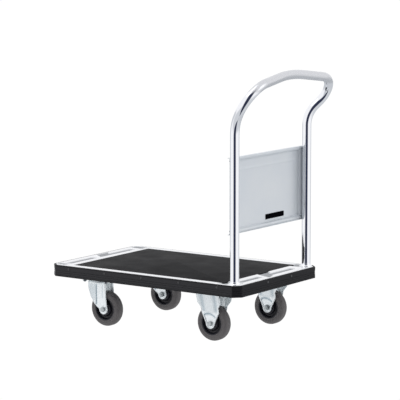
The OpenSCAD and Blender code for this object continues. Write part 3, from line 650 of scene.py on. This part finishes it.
def roundedSlab(name, x0, x1, y0, y1, z0, z1, cornerR, edgeR):
    # a slab with round corners and a rounded edge all round
    cx, cy = (x0 + x1) / 2, (y0 + y1) / 2
    hx, hy = (x1 - x0) / 2, (y1 - y0) / 2
    levels = [(edgeR, z0), (edgeR * 0.3, z0 + edgeR * 0.3), (0, z0 + edgeR), (0, z1 - edgeR),
              (edgeR * 0.3, z1 - edgeR * 0.3), (edgeR, z1)]
    verts = []
    for inset, z in levels:
        for qx, qy, start in ((1, 1, 0), (-1, 1, 90), (-1, -1, 180), (1, -1, 270)):
            for a in range(0, 91, 15):
                t = math.radians(start + a)
                r = cornerR - inset
                verts.append((cx + qx * (hx - cornerR) + r * math.cos(t),
                              cy + qy * (hy - cornerR) + r * math.sin(t), z))
    n = 28
    faces = gridFaces(len(levels), n, False, True)
    faces = [tuple(reversed(f)) for f in faces] + [tuple(range(n))[::-1], tuple(range(n * 5, n * 6))]
    piece = makePiece(name, verts, faces, 50)
    turnOutwards(piece)
    smoothPiece(piece, 50)
    return piece


def buildMat():
    d = deckSizes
    x, y = halfL - d["endMargin"], halfW - d["sideMargin"]
    piece = roundedSlab("deckMat", deckX - x, deckX + x, -y, y, deckTop - d["matBottom"],
                        deckTop - d["matDrop"], 8 * mm, 0.7 * mm)
    return finishPiece(piece, "matRubber", "chassis", "deck_mat")


bumperSizes = dict(top=1.2 * mm, height=40.5 * mm, thick=7 * mm, cornerR=8 * mm, grooveAt=(7.25, 14.5, 21.75),
                   grooveHalf=0.9 * mm, grooveDeep=1.0 * mm, hollow=0.9 * mm, lip=1.3 * mm)


def bumperProfile():
    b = bumperSizes
    low, high = deckTop - b["top"] - b["height"], deckTop - b["top"]
    lip = b["lip"]
    points = [(b["thick"], high), (lip, high), (lip * 0.3, high - lip * 0.3), (0, high - lip)]
    for z in np.linspace(high - 3 * mm, low + 5 * mm, 90):
        t = (z - low) / (high - low)
        inward = b["hollow"] * math.sin(math.pi * min(1, max(0, (t - 0.13) / 0.72))) ** 2
        for k in b["grooveAt"]:
            at = high - 11.5 * mm - k * mm
            inward += b["grooveDeep"] * max(0, 1 - ((z - at) / b["grooveHalf"]) ** 2)
        points.append((inward, z))
    return points + [(0, low + 3 * mm), (lip * 0.3, low + lip * 0.3), (lip, low), (b["thick"], low)]


def buildBumper():
    b = bumperSizes
    outline = outlineNormals()
    ring = []
    for k in range(8):
        (ax, ay, af), (bx, by, bf) = outline[k], outline[(k + 1) % 8]
        r = b["cornerR"]
        det = ax * by - ay * bx
        cx = ((af - r) * by - (bf - r) * ay) / det
        cy = (ax * (bf - r) - bx * (af - r)) / det
        a0 = math.atan2(ay, ax)
        for s in range(6):
            a = a0 + math.radians(45) * s / 5
            ring.append((cx, cy, math.cos(a), math.sin(a)))
    profile = bumperProfile()
    verts = [(deckX + cx + (b["cornerR"] - inward) * nx, cy + (b["cornerR"] - inward) * ny, z)
             for cx, cy, nx, ny in ring for inward, z in profile]
    piece = makePiece("bumper", verts, gridFaces(len(ring), len(profile), True, True), 35)
    turnOutwards(piece)
    smoothPiece(piece, 35)
    return finishPiece(piece, "bumperRubber", "chassis", "bumper")


rivetSizes = dict(drop=11.5 * mm, pitch=160 * mm, each=2, endY=75 * mm, headR=4.5 * mm, headT=1.5 * mm,
                  shankR=2 * mm, shankL=8 * mm)


def buildBumperRivets():
    r = rivetSizes
    head = domedHead(r["headR"], r["headT"], r["shankR"], r["shankL"])
    z = deckTop - r["drop"]
    places = []
    for side in (-1, 1):
        for k in range(-r["each"], r["each"] + 1):
            places.append(((deckX + k * r["pitch"], side * halfW, z), (0, side, 0)))
        for end in (-1, 1):
            places.append(((deckX + end * halfL, side * r["endY"], z), (end, 0, 0)))
    piece = scatterParts("bumperRivets", head, places, "rivetSteel")
    bpy.data.objects.remove(head)
    return finishPiece(piece, "rivetSteel", "chassis", "bumper_rivets")


buildDeckPan()
buildMat()
buildBumper()
buildBumperRivets()
print("truck: deck made")


handleSizes = dict(footZ=180.5 * mm, bendZ=761 * mm, lean=39.9, splay=23.4, sideL=174.5 * mm,
                   archRise=36.5 * mm, archBack=27.4 * mm, radii=(100 * mm, 80 * mm, 500 * mm))


def handlePath():
    h = handleSizes
    lean, splay = math.radians(h["lean"]), math.radians(h["splay"])
    direction = Vector((math.cos(splay) * math.sin(lean), -math.sin(splay), math.cos(splay) * math.cos(lean)))
    foot = Vector((deckX + handleX, -handleY, h["footZ"]))
    bend = Vector((foot.x, foot.y, h["bendZ"]))
    corner = bend + direction * h["sideL"]
    middle = Vector((corner.x - h["archBack"], 0, corner.z + h["archRise"]))
    half = [foot, bend, corner]
    points = half + [middle] + [Vector((p.x, -p.y, p.z)) for p in reversed(half)]
    radii = [0, *h["radii"], h["radii"][1], h["radii"][0], 0]
    line = [foot]
    for i in range(1, len(points) - 1):
        back, ahead = (points[i - 1] - points[i]).normalized(), (points[i + 1] - points[i]).normalized()
        turn = math.pi - back.angle(ahead)
        centre = points[i] + (back + ahead).normalized() * radii[i] / math.cos(turn / 2)
        start = (points[i] + back * radii[i] * math.tan(turn / 2) - centre).normalized()
        steps = max(6, int(math.degrees(turn) / 2))
        for k in range(steps + 1):
            a = turn * k / steps
            line.append(centre + radii[i] * (math.cos(a) * start - math.sin(a) * back))
    return line + [points[-1]]


def buildHandle():
    line = handlePath()
    mesh = bpy.data.meshes.new("handleTube")
    mesh.from_pydata([tuple(p) for p in line], [(i, i + 1) for i in range(len(line) - 1)], [])
    tube = addObject("handleTube", mesh)
    runTree(tube, sweepTree, {"Tube Radius": tubeR, "Sides": 64, "Finish": materials["chromeTube"]})
    turnOutwards(tube)
    smoothPiece(tube, 50)
    finishPiece(tube, "chromeTube", "chassis", "handle_tube")
    rings = []
    for side in (-1, 1):
        # a flared foot that rolls over at its base, with a small step under its lip
        profile = inMm([(15.4, 0), (21, 0), (21, 1.2), (20.6, 2.0), (19.6, 2.7), (18.7, 3.7), (18.1, 5.0),
                        (17.8, 6.4), (17.7, 7.6), (17.5, 8.4), (17.1, 8.8), (16.6, 9.0), (15.4, 9.0)])
        rings.append(standProfile("collar", profile, (deckX + handleX, side * handleY, deckTop), 64, 50))
    finishPiece(joinPieces("handleCollars", rings), "chromeTube", "chassis", "handle_collars")


fixingSizes = dict(r=4 * mm, hex=1.88, headT=5.2 * mm, nutT=6.4 * mm, washerT=1.6 * mm, past=2 * mm,
                   socketR=19 * mm, turn=math.radians(20))


def boltAndNut(prefix, sizes, grip):
    # a bolt with its seat at the origin and a nut with its washer, for a joint as thick as the grip
    low = -(grip + sizes["washerT"] + sizes["nutT"] + sizes["past"])
    bolt = hexPart(prefix + "Bolt", sizes["r"] * sizes["hex"], 0, sizes["headT"], shankR=sizes["r"],
                   shankLow=low, shankHigh=1 * mm)
    nut = hexPart(prefix + "Nut", sizes["r"] * sizes["hex"], sizes["washerT"],
                  sizes["washerT"] + sizes["nutT"], hole=sizes["r"], washerR=sizes["r"] * 2,
                  washerT=sizes["washerT"])
    return bolt, nut


def placeFasteners(name, part, places, spread, seed, body, node):
    finishPiece(scatterParts(name, part, places, "fastenerZinc", spread, seed), "fastenerZinc", body, node)


def buildHandleFixings():
    f = fixingSizes
    z = (handleSizes["footZ"] + deckTop) / 2
    bolt, nut = boltAndNut("handle", f, 2 * f["socketR"])
    heads, nuts = [], []
    for side in (-1, 1):
        out = Vector((math.cos(f["turn"]), -side * math.sin(f["turn"]), 0))
        middle = Vector((deckX + handleX, side * handleY, z))
        heads.append((middle + out * f["socketR"], out))
        nuts.append((middle - out * f["socketR"], -out))
    placeFasteners("handleBolts", bolt, heads, 0.8, 5, "chassis", "handle_bolts")
    placeFasteners("handleNuts", nut, nuts, 0.8, 6, "chassis", "handle_nuts")
    for part in (bolt, nut):
        bpy.data.objects.remove(part)


buildHandle()
buildHandleFixings()
print("truck: handle made")


panelSizes = dict(low=382 * mm, high=645 * mm, halfY=234.5 * mm, recessY=212 * mm, recessLow=397 * mm,
                  recessHigh=633 * mm, recess=8 * mm, wall=1.2 * mm, hem=10 * mm, hemR=3 * mm,
                  ridgeZ=599 * mm, ridge=0.9 * mm, bead=3.0 * mm, sweep=11 * mm, rivets=(415.9, 515.0, 614.1))


def buildPanel():
    p = panelSizes
    front = deckX + handleX - tubeR
    column = [(p["low"], -p["hem"]), (p["low"], -p["hemR"])]
    column += [(p["low"] + p["hemR"] - p["hemR"] * cosDeg(a),
                -p["hemR"] + p["hemR"] * sinDeg(a)) for a in (22, 45, 68, 90)]
    body = [z for z in np.concatenate([np.arange(p["low"] + 4 * mm, p["recessLow"] + 12 * mm, 1 * mm),
                                       np.arange(p["recessLow"] + 12 * mm, p["recessHigh"] - 44 * mm, 8 * mm),
                                       np.arange(p["recessHigh"] - 44 * mm, p["high"] - 4 * mm, 1 * mm)])]
    column += [(z, 0.0) for z in body]
    column += [(p["high"] - p["hemR"] + p["hemR"] * sinDeg(a),
                -p["hemR"] + p["hemR"] * cosDeg(a)) for a in (0, 22, 45, 68, 90)]
    column += [(p["high"], -p["hem"])]
    fine = np.arange(p["recessY"] - 12 * mm, p["halfY"] + 0.1 * mm, 1.25 * mm)
    ys = np.concatenate([-fine[::-1], np.linspace(-fine[0] + 8 * mm, fine[0] - 8 * mm, 40), fine])
    zs, xo = np.array([c[0] for c in column]), np.array([c[1] for c in column])
    gz, gy = np.meshgrid(zs, ys, indexing="ij")
    gx = np.repeat(xo[:, None], len(ys), axis=1)
    # the face is sunk between two rolled rims, and its sides sweep up to the uprights
    past = np.maximum(gz - p["recessHigh"], p["recessLow"] - gz)
    inside = (1 - smoothStep(past, -3.0 * mm, 0.8 * mm)) * \
        (1 - smoothStep(np.abs(gy), p["recessY"] - 1 * mm, p["recessY"] + p["sweep"]))
    swage = p["ridge"] * np.exp(-((gz - p["ridgeZ"]) / (4.5 * mm)) ** 2) * \
        (1 - smoothStep(np.abs(gy), p["recessY"] - 20 * mm, p["recessY"] - 10 * mm))
    rim = np.clip(past / (p["high"] - p["recessHigh"]), 0, 1)
    bead = np.where(gx > -1e-6, p["bead"] * (2 * rim - 1) ** 2 * (rim > 0), 0)
    gx = front + gx - inside * (p["recess"] - swage) - bead * (1 - inside)
    verts = list(zip(gx.ravel(), gy.ravel(), gz.ravel()))
    faces = [tuple(reversed(f)) for f in gridFaces(len(zs), len(ys))]
    piece = makePiece("backPanel", verts, faces, 50)
    if sum(f.normal.x * f.area for f in piece.data.polygons) < 0:
        piece.data.flip_normals()
    thicken(piece, p["wall"], 50)
    finishPiece(piece, "panelMetal", "chassis", "back_panel")
    head = domedHead(4.5 * mm, 1.2 * mm, 2 * mm, 4 * mm)
    places = [((front - p["wall"], side * handleY, z * mm), (-1, 0, 0))
              for side in (-1, 1) for z in p["rivets"]]
    rivets = scatterParts("panelRivets", head, places, "rivetSteel")
    bpy.data.objects.remove(head)
    finishPiece(rivets, "rivetSteel", "chassis", "panel_rivets")


def buildNamePlate():
    low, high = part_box("name_plate")
    # drawn flat, then stood up to face the operator
    plate = roundedSlab("namePlate", -(high.y - low.y) / 2, (high.y - low.y) / 2, -(high.z - low.z) / 2,
                        (high.z - low.z) / 2, 0, high.x - low.x, 2 * mm, 0.35 * mm)
    for v in plate.data.vertices:
        y, z, x = v.co
        v.co = (low.x + x, (low.y + high.y) / 2 + y, (low.z + high.z) / 2 + z)
    turnOutwards(plate)
    smoothPiece(plate, 50)
    finishPiece(plate, "plateBlack", "chassis", "name_plate")


buildPanel()
buildNamePlate()
print("truck: panel made")


casterSizes = dict(legOut=26 * mm, wall=3.3 * mm, edge=2.6 * mm, axleZ=62.5 * mm, tongueR=18 * mm,
                   plateUnder=166.5 * mm, plateTop=171 * mm, plateL=116 * mm, plateW=90 * mm,
                   crownTop=161 * mm, crownR=8 * mm, trail=30 * mm, kneeZ=100 * mm, splay=19 * mm,
                   edgeDepth=6.5 * mm, crownHalf=38.5 * mm)


def sheetFromStations(name, stations, acrossN, relief):
    # a closed plate along stations of (y, z, outward normal y, z, left x, right x, depth of the turned edge)
    c = casterSizes
    outer, inner, sunk = [], [], []
    for y, z, ny, nz, left, right, depth in stations:
        width = right - left
        r = min(c["edge"], width * 0.4)
        lip = min(c["wall"], width * 0.3)
        bends = (0, 30, 60, 90)
        row = [(left + r - r * cosDeg(a), r - r * sinDeg(a)) for a in bends]
        row += [(left + r + (width - 2 * r) * k / acrossN, 0) for k in range(1, acrossN)]
        row += [(right - r + r * sinDeg(a), r - r * cosDeg(a)) for a in bends]
        for index, (x, sink) in enumerate(row):
            lift, shade = relief(x, z, min(x - left, right - x), abs(ny)) if sink == 0 else (0, 0)
            outer.append((x, y - ny * (sink + lift), z - nz * (sink + lift)))
            atEdge = index in (0, 1, len(row) - 2, len(row) - 1)
            back = max(c["wall"], depth) if atEdge else c["wall"]
            bx = {1: left + lip, len(row) - 2: right - lip}.get(index, min(max(x, left + lip), right - lip))
            if index in (0, len(row) - 1):
                bx = x
            inner.append((bx, y - ny * (back + lift), z - nz * (back + lift)))
            sunk.append(shade)
    nu, nv = len(stations), len(row)
    count = nu * nv
    faces = [tuple(f) for f in gridFaces(nu, nv)]
    faces += [tuple(count + i for i in reversed(f)) for f in gridFaces(nu, nv)]
    for u in range(nu - 1):
        for v in (0, nv - 1):
            a, b = u * nv + v, (u + 1) * nv + v
            faces.append((a, b, b + count, a + count) if v == 0 else (b, a, a + count, b + count))
    for v in range(nv - 1):
        for u in (0, nu - 1):
            a, b = u * nv + v, u * nv + v + 1
            faces.append((b, a, a + count, b + count) if u == 0 else (a, b, b + count, a + count))
    piece = makePiece(name, outer + inner, faces, 45)
    # the painted shade of the pressings rides on the outer points
    shade = piece.data.attributes.new("sunk", "FLOAT", "POINT")
    shade.data.foreach_set("value", np.array(sunk + [0.0] * count))
    turnOutwards(piece)
    smoothPiece(piece, 45)
    return piece


forkPress = dict(crease=2.4 * mm, creaseW=2.6 * mm, front=0.9 * mm, field=0.7 * mm, second=0.8 * mm,
                 secondX=27 * mm, secondW=2.0 * mm)


def forkRelief(x, z, fromEdge, upright):
    # how deep a point is pressed, and how much painted shade it gets: a crease down the leg over the swivel
    # axis,
    #     # a lower front half, a weak second crease, and a slightly sunk field inside the tongue's border
    p = forkPress
    crease = bell(x, 0, p["creaseW"]) * between(z, 74 * mm, 82 * mm, 148 * mm, 156 * mm)
    front = smoothStep(-x, 0, 6 * mm) * between(z, 84 * mm, 100 * mm, 146 * mm, 156 * mm)
    second = bell(x, p["secondX"], p["secondW"]) * between(z, 98 * mm, 108 * mm, 150 * mm, 158 * mm)
    field = smoothStep(fromEdge, 4 * mm, 6.5 * mm) * (1 - smoothStep(z, 100 * mm, 112 * mm))
    pressed = p["crease"] * crease + p["front"] * front + p["field"] * field + p["second"] * second
    return upright * pressed, upright * min(1, crease + 0.35 * front + 0.5 * second)


bracketPress = dict(flute=2.2 * mm, fluteAt=((-26 * mm, 9 * mm), (27 * mm, 8 * mm)), step=2.2 * mm,
                    stepZ=99 * mm, stepX=-6 * mm, arch=6 * mm, archHalf=20 * mm, shadowW=4.4 * mm)


def bracketRelief(x, z, fromEdge, upright):
    # two wide flutes above the knee, an arched step below it and a border round the tongue, with painted
    # shade in the flutes and a painted shadow along the step
    p = bracketPress
    above = smoothStep(z, 98 * mm, 108 * mm)
    flutes = sum(bell(x, at, width) for at, width in p["fluteAt"])
    stepZ = p["stepZ"] - p["arch"] * (abs(x - p["stepX"]) / p["archHalf"]) ** 2
    below = 1 - smoothStep(z, stepZ - 5 * mm, stepZ + 1 * mm)
    field = smoothStep(fromEdge, 4 * mm, 8 * mm)
    shadow = bell(z, stepZ - 2 * mm, p["shadowW"]) * field
    pressed = p["flute"] * flutes * above + p["step"] * below * field
    return upright * pressed, upright * min(1, 0.62 * flutes * above * field + 0.9 * shadow)


def tongueStations(centre):
    # heights and edges down the half-round end of a leg, from its tip up to the axle
    c = casterSizes
    rows = []
    for a in range(86, 0, -6):
        half = c["tongueR"] * cosDeg(a)
        rows.append((c["axleZ"] - c["tongueR"] * sinDeg(a), centre - half, centre + half))
    return rows


def forkEdges(z):
    c = casterSizes
    zs = [c["axleZ"], 70 * mm, 81 * mm, 105 * mm, 132 * mm, 161 * mm]
    left = np.interp(z, zs, np.array([12.3, 1.0, -11.2, -26.2, -36.2, -38.5]) * mm)
    right = np.interp(z, zs, np.array([48.0, 47.0, 44.5, 42.2, 40.5, 38.5]) * mm)
    return float(left), float(right)


def buildFork(side):
    c = casterSizes
    r, out, high = c["crownR"], c["legOut"], c["crownTop"]
    edgeDepth, crownHalf = c["edgeDepth"], c["crownHalf"]
    rows = tongueStations(c["trail"]) + [(z, *forkEdges(z)) for z in np.linspace(c["axleZ"], 150 * mm, 56)]
    stations = [(out, z, 1.0, 0.0, left, right, float(np.interp(z, [120 * mm, 140 * mm], [0, edgeDepth])))
                for z, left, right in rows]
    for a in (15, 30, 45, 60, 75, 90):
        t = math.radians(a)
        stations.append((out - r + r * math.cos(t), high - r + r * math.sin(t), math.cos(t), math.sin(t),
                         -crownHalf, crownHalf, edgeDepth))
    half = stations + [(y, high, 0, 1, -crownHalf, crownHalf, edgeDepth) for y in (12 * mm, 6 * mm)]
    other = [(-y, z, -ny, nz, left, right, depth) for y, z, ny, nz, left, right, depth in reversed(half)]
    middle = [(0, high, 0, 1, -crownHalf, crownHalf, edgeDepth)]
    piece = sheetFromStations("fork", half + middle + other, 70, forkRelief)
    corner = "front_" + side
    low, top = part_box(corner + "_kingpin")
    piece.data.transform(Matrix.Translation(((low.x + top.x) / 2, corners[corner].y, 0)))
    piece.name = corner + "_forkSheet"
    finishPiece(piece, "zincSteel", corner + "_swivel", corner + "_fork")


def bracketEdges(z):
    heights = np.array([62.5, 80, 100, 118, 135, 167]) * mm
    half = np.interp(z, heights, np.array([18, 26, 35.6, 36, 47.5, 47.5]) * mm)
    return -float(half), float(half)


def buildBracket(side):
    c = casterSizes
    parts = []
    rise = c["plateUnder"] - c["kneeZ"]
    lean = math.atan2(c["splay"], rise)
    for way in (-1, 1):
        stations = []
        heights = np.linspace(c["axleZ"], c["plateUnder"] + 1 * mm, 68)
        rows = tongueStations(0) + [(z, *bracketEdges(z)) for z in heights]
        for z, left, right in rows:
            t = smoothStep(z, c["kneeZ"] - 6 * mm, c["kneeZ"] + 6 * mm)
            y = c["legOut"] + max(0.0, z - c["kneeZ"]) / rise * c["splay"] * t
            stations.append((way * min(y, c["plateW"] / 2), z, way * math.cos(lean * t), -math.sin(lean * t),
                             left, right, 0))
        parts.append(sheetFromStations("leg", stations, 70, bracketRelief))
    parts.append(roundedSlab("plate", -c["plateL"] / 2, c["plateL"] / 2, -c["plateW"] / 2, c["plateW"] / 2,
                             c["plateUnder"], c["plateTop"], 8 * mm, 0.8 * mm))
    piece = joinPieces("rear_" + side + "_bracketSheet", parts)
    low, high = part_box("rear_" + side + "_bracket")
    piece.data.transform(Matrix.Translation(((low.x + high.x) / 2, (low.y + high.y) / 2, 0)))
    smoothPiece(piece, 45)
    finishPiece(piece, "zincSteel", "chassis", "rear_" + side + "_bracket")


def buildSwivelPlate(side):
    c = casterSizes
    low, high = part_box("front_" + side + "_plate")
    parts = [roundedSlab("plate", low.x, high.x, low.y, high.y, c["plateUnder"], c["plateTop"],
                         8 * mm, 0.8 * mm)]
    # the pressed cup that holds the upper balls
    profile = inMm([(30.8, 0), (35.5, 0), (36.5, -1.0), (36.5, -3.0), (35.7, -4.0), (34.7, -4.0),
                    (34.3, -3.2), (34.3, -1.5), (33.5, -0.8), (30.8, -0.8)])
    seat = ((low.x + high.x) / 2, (low.y + high.y) / 2, c["plateUnder"] + 0.2 * mm)
    parts.append(standProfile("cup", profile, seat, 72))
    piece = joinPieces("front_" + side + "_topPlate", parts)
    finishPiece(piece, "zincSteel", "chassis", "front_" + side + "_plate")


for side in sides:
    buildFork(side)
    buildBracket(side)
    buildSwivelPlate(side)
print("truck: forks and brackets made")


wheelSizes = dict(r=62.5 * mm, half=18 * mm, shoulder=12 * mm,
                  # (radius, how far inside the tyre's face) from the tyre's side to the bearing's seat
                  side=[(49.5, 0), (47.6, 0.1), (46.9, 0.9), (46.0, 0.9), (45.3, 0.2), (42.2, 0.3),
                        (41.5, 1.0)],
                  core=[(41.5, 1.0), (40.6, 0.6), (38.4, 0.6), (37.6, 1.4), (36.9, 4.5), (35.6, 10.5),
                        (34.2, 12.4), (32.0, 13.2), (30.5, 13.3), (29.9, 10.4), (28.6, 10.2), (27.6, 13.2),
                        (26.0, 12.6), (25.0, 10.8), (23.9, 3.0), (23.2, 1.6), (22.2, 1.1), (18.6, 1.0),
                        (17.5, 1.6), (17.5, 12.0), (14.5, 12.0)])


def buildWheel(corner):
    w = wheelSizes
    centre = corners[corner]
    flat, r, half = w["half"] - w["shoulder"], w["r"], w["half"]
    tread = [(r, 0), (r - 0.05 * mm, flat * 0.7)]
    shoulder = [(r - w["shoulder"] + w["shoulder"] * cosDeg(a),
                 flat + w["shoulder"] * sinDeg(a)) for a in range(6, 91, 7)]
    side = [(pr, half - inward) for pr, inward in inMm(w["side"])]
    upper = tread + shoulder + side
    profile = [(pr, -py) for pr, py in reversed(upper)] + upper[1:]
    tyre = turnProfile(corner + "_tyreRing", profile, centre, 128, 50)
    finishPiece(tyre, "tyreRubber", corner + "_wheel", corner + "_tyre")
    face = [(pr, half - inward) for pr, inward in inMm(w["core"])]
    profile = face + [(pr, -py) for pr, py in reversed(face)]
    core = turnProfile(corner + "_hubCore", profile, centre, 96, 35)
    finishPiece(core, "corePlastic", corner + "_wheel", corner + "_core")


axleSizes = dict(r=5 * mm, hex=1.88, headT=6.5 * mm, nutT=8 * mm, washerT=1.6 * mm, past=2 * mm,
                 legOut=26 * mm)
plateBolts = dict(r=4 * mm, hex=1.88, headT=5.2 * mm, nutT=6.4 * mm, washerT=1.6 * mm, past=2 * mm,
                  pitchL=94 * mm, pitchW=61 * mm, seatZ=174 * mm, underZ=166.5 * mm)


def buildFasteners():
    a, p = axleSizes, plateBolts
    bolt, nut = boltAndNut("axle", a, 2 * a["legOut"])
    for seed, (corner, centre) in enumerate(corners.items()):
        side = 1 if centre.y > 0 else -1
        body = corner + "_swivel" if corner.startswith("front") else "chassis"
        head = [((centre.x, centre.y + side * a["legOut"], centre.z), (0, side, 0))]
        tail = [((centre.x, centre.y - side * a["legOut"], centre.z), (0, -side, 0))]
        placeFasteners(corner + "_boltSet", bolt, head, 1.0, seed, body, corner + "_axle_bolt")
        placeFasteners(corner + "_nutSet", nut, tail, 1.0, seed + 9, body, corner + "_axle_nut")
    small, smallNut = boltAndNut("plate", p, p["seatZ"] - p["underZ"])
    heads, nuts = [], []
    for node in ("front_left_plate", "front_right_plate", "rear_left_bracket", "rear_right_bracket"):
        low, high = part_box(node)
        for sx in (-1, 1):
            for sy in (-1, 1):
                x = (low.x + high.x) / 2 + sx * p["pitchL"] / 2
                y = (low.y + high.y) / 2 + sy * p["pitchW"] / 2
                heads.append(((x, y, p["seatZ"]), (0, 0, 1)))
                nuts.append(((x, y, p["underZ"]), (0, 0, -1)))
    placeFasteners("casterBolts", small, heads, 1.0, 21, "chassis", "caster_bolts")
    placeFasteners("casterNuts", smallNut, nuts, 1.0, 22, "chassis", "caster_nuts")
    for part in (bolt, nut, small, smallNut):
        bpy.data.objects.remove(part)


for corner in corners:
    buildWheel(corner)
buildFasteners()
print("truck: wheels and fasteners made")


carried = {"frameSteel": ["front_crossmember", "rear_crossmember", "left_stiffener", "right_stiffener",
                          "left_handle_socket", "right_handle_socket"],
           "fastenerZinc": ["front_left_kingpin", "front_right_kingpin"] + [c + "_sleeve" for c in corners],
           "bearingSteel": [c + k for c in corners for k in ("_outer_rings", "_inner_rings")]
           + ["front_left_swivel_balls", "front_right_swivel_balls"]}
for name, nodes in carried.items():
    for node in nodes:
        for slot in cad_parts[node].material_slots:
            slot.material = materials[name]
for node in ("front_crossmember", "rear_crossmember", "left_stiffener", "right_stiffener"):
    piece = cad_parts[node]
    weld = piece.modifiers.new("weld", "WELD")
    weld.merge_threshold = 1e-6
    edge = piece.modifiers.new("foldedEdge", "BEVEL")
    edge.width, edge.segments, edge.angle_limit = 1.0 * mm, 3, math.radians(40)
print("truck: carried-over pieces finished")



stageSizes = dict(radii=(1.15, 0.95), glow=1.02)


def buildStage():
    mesh = bpy.data.meshes.new("floor")
    rx, ry = stageSizes["radii"]
    ring = [(rx * cosDeg(a), ry * sinDeg(a), 0) for a in range(0, 360, 10)]
    mesh.from_pydata(ring, [], [tuple(range(len(ring)))])
    floor = addObject("floor", mesh)
    material = bpy.data.materials.new("paperFloor")
    material.use_nodes = True
    tree = material.node_tree
    tree.nodes.clear()
    output = addNode(tree, "ShaderNodeOutputMaterial")
    glow = addNode(tree, "ShaderNodeEmission", {"Color": (1, 1, 1, 1), "Strength": stageSizes["glow"]})
    clear = addNode(tree, "ShaderNodeBsdfTransparent")
    path = addNode(tree, "ShaderNodeLightPath")
    # polished metal mirrors the studio instead of the floor
    seen = addNode(tree, "ShaderNodeMixShader", None, {0: path.outputs["Is Glossy Ray"], 1: glow.outputs[0],
                                                       2: clear.outputs[0]})
    tree.links.new(seen.outputs[0], output.inputs[0])
    mesh.materials.append(material)


worldSizes = dict(base=(1.0, 1.0, 1.02), dark=(0.03, 0.036, 0.07), toCamera=(0.545, -0.839),
                  darkCos=(0.83, 0.93), darkUp=(0.8, 0.5), behind=(0.60, 0.62, 0.65),
                  behindCos=(-0.22, -0.62), lowUp=(0.04, -0.10), below=(0.66, 0.68, 0.71),
                  belowUp=(-0.25, -0.6), seen=(1.02, 1.02, 1.02), strength=1.0)


def buildWorld():
    # a white studio: a dark gap round the viewer, greyer low down behind the truck and under it
    w = worldSizes
    world = bpy.data.worlds.new("studio")
    bpy.context.scene.world = world
    world.use_nodes = True
    tree = world.node_tree
    tree.nodes.clear()
    output = addNode(tree, "ShaderNodeOutputWorld")
    coords = addNode(tree, "ShaderNodeTexCoord")
    flat = addNode(tree, "ShaderNodeVectorMath", {1: (1, 1, 0)}, {0: coords.outputs["Generated"]},
                   operation="MULTIPLY")
    unit = addNode(tree, "ShaderNodeVectorMath", None, {0: flat.outputs[0]}, operation="NORMALIZE")
    toward = addNode(tree, "ShaderNodeVectorMath", {1: (*w["toCamera"], 0)}, {0: unit.outputs[0]},
                     operation="DOT_PRODUCT")
    up = addNode(tree, "ShaderNodeSeparateXYZ", None, {0: coords.outputs["Generated"]})

    def ramp(source, limits):
        return rampNode(tree, source, *limits, interpolation_type="SMOOTHSTEP")

    def blend(share, base, colour):
        return addNode(tree, "ShaderNodeMix", {7: (*colour, 1)}, {0: share, 6: base},
                       data_type="RGBA").outputs[2]

    height, facing = up.outputs[2], toward.outputs["Value"]
    low = ramp(height, w["lowUp"])
    plain = addNode(tree, "ShaderNodeRGB")
    plain.outputs[0].default_value = (*w["base"], 1)
    colour = blend(ramp(height, w["belowUp"]), plain.outputs[0], w["below"])
    colour = blend(productNode(tree, low, ramp(facing, w["behindCos"])), colour, w["behind"])
    gap = productNode(tree, ramp(facing, w["darkCos"]), ramp(height, w["darkUp"]))
    colour = blend(gap, colour, w["dark"])
    path = addNode(tree, "ShaderNodeLightPath")
    colour = blend(path.outputs["Is Camera Ray"], colour, w["seen"])
    light = addNode(tree, "ShaderNodeBackground", {"Strength": w["strength"]}, {"Color": colour})
    tree.links.new(light.outputs[0], output.inputs[0])


def addLight(name, place, aim, size, power):
    lamp = bpy.data.lights.new(name, "AREA")
    lamp.shape, lamp.size, lamp.energy = "DISK", size, power
    piece = addObject(name, lamp)
    piece.location = place
    piece.rotation_euler = (Vector(aim) - Vector(place)).to_track_quat("-Z", "Y").to_euler()


cameraSizes = dict(place=(4.26554, -6.0839, 1.4775), yaw=124.82, pitch=-7.86, roll=-0.04, lens=190.0,
                   sensor=36)


def buildCamera():
    c = cameraSizes
    lens = bpy.data.cameras.new("camera")
    lens.sensor_width, lens.lens = c["sensor"], c["lens"]
    lens.clip_start, lens.clip_end = 0.1, 100
    camera = addObject("camera", lens)
    yaw, pitch = math.radians(c["yaw"]), math.radians(c["pitch"])
    ahead = Vector((math.cos(yaw) * math.cos(pitch), math.sin(yaw) * math.cos(pitch), math.sin(pitch)))
    camera.location = c["place"]
    aim = ahead.to_track_quat("-Z", "Y").to_matrix().to_4x4()
    camera.rotation_euler = (aim @ Matrix.Rotation(math.radians(c["roll"]), 4, "Z")).to_euler()
    bpy.context.scene.camera = camera


buildStage()
buildWorld()
addLight("topSoft", (-0.6, -1.2, 3.2), (0, 0, 0.3), 2.4, 14)
addLight("sideSoft", (2.6, 0.6, 1.6), (0.2, 0, 0.4), 1.6, 5)
buildCamera()
bpy.context.scene.view_settings.view_transform = "Standard"
print("truck: stage, light and camera made")
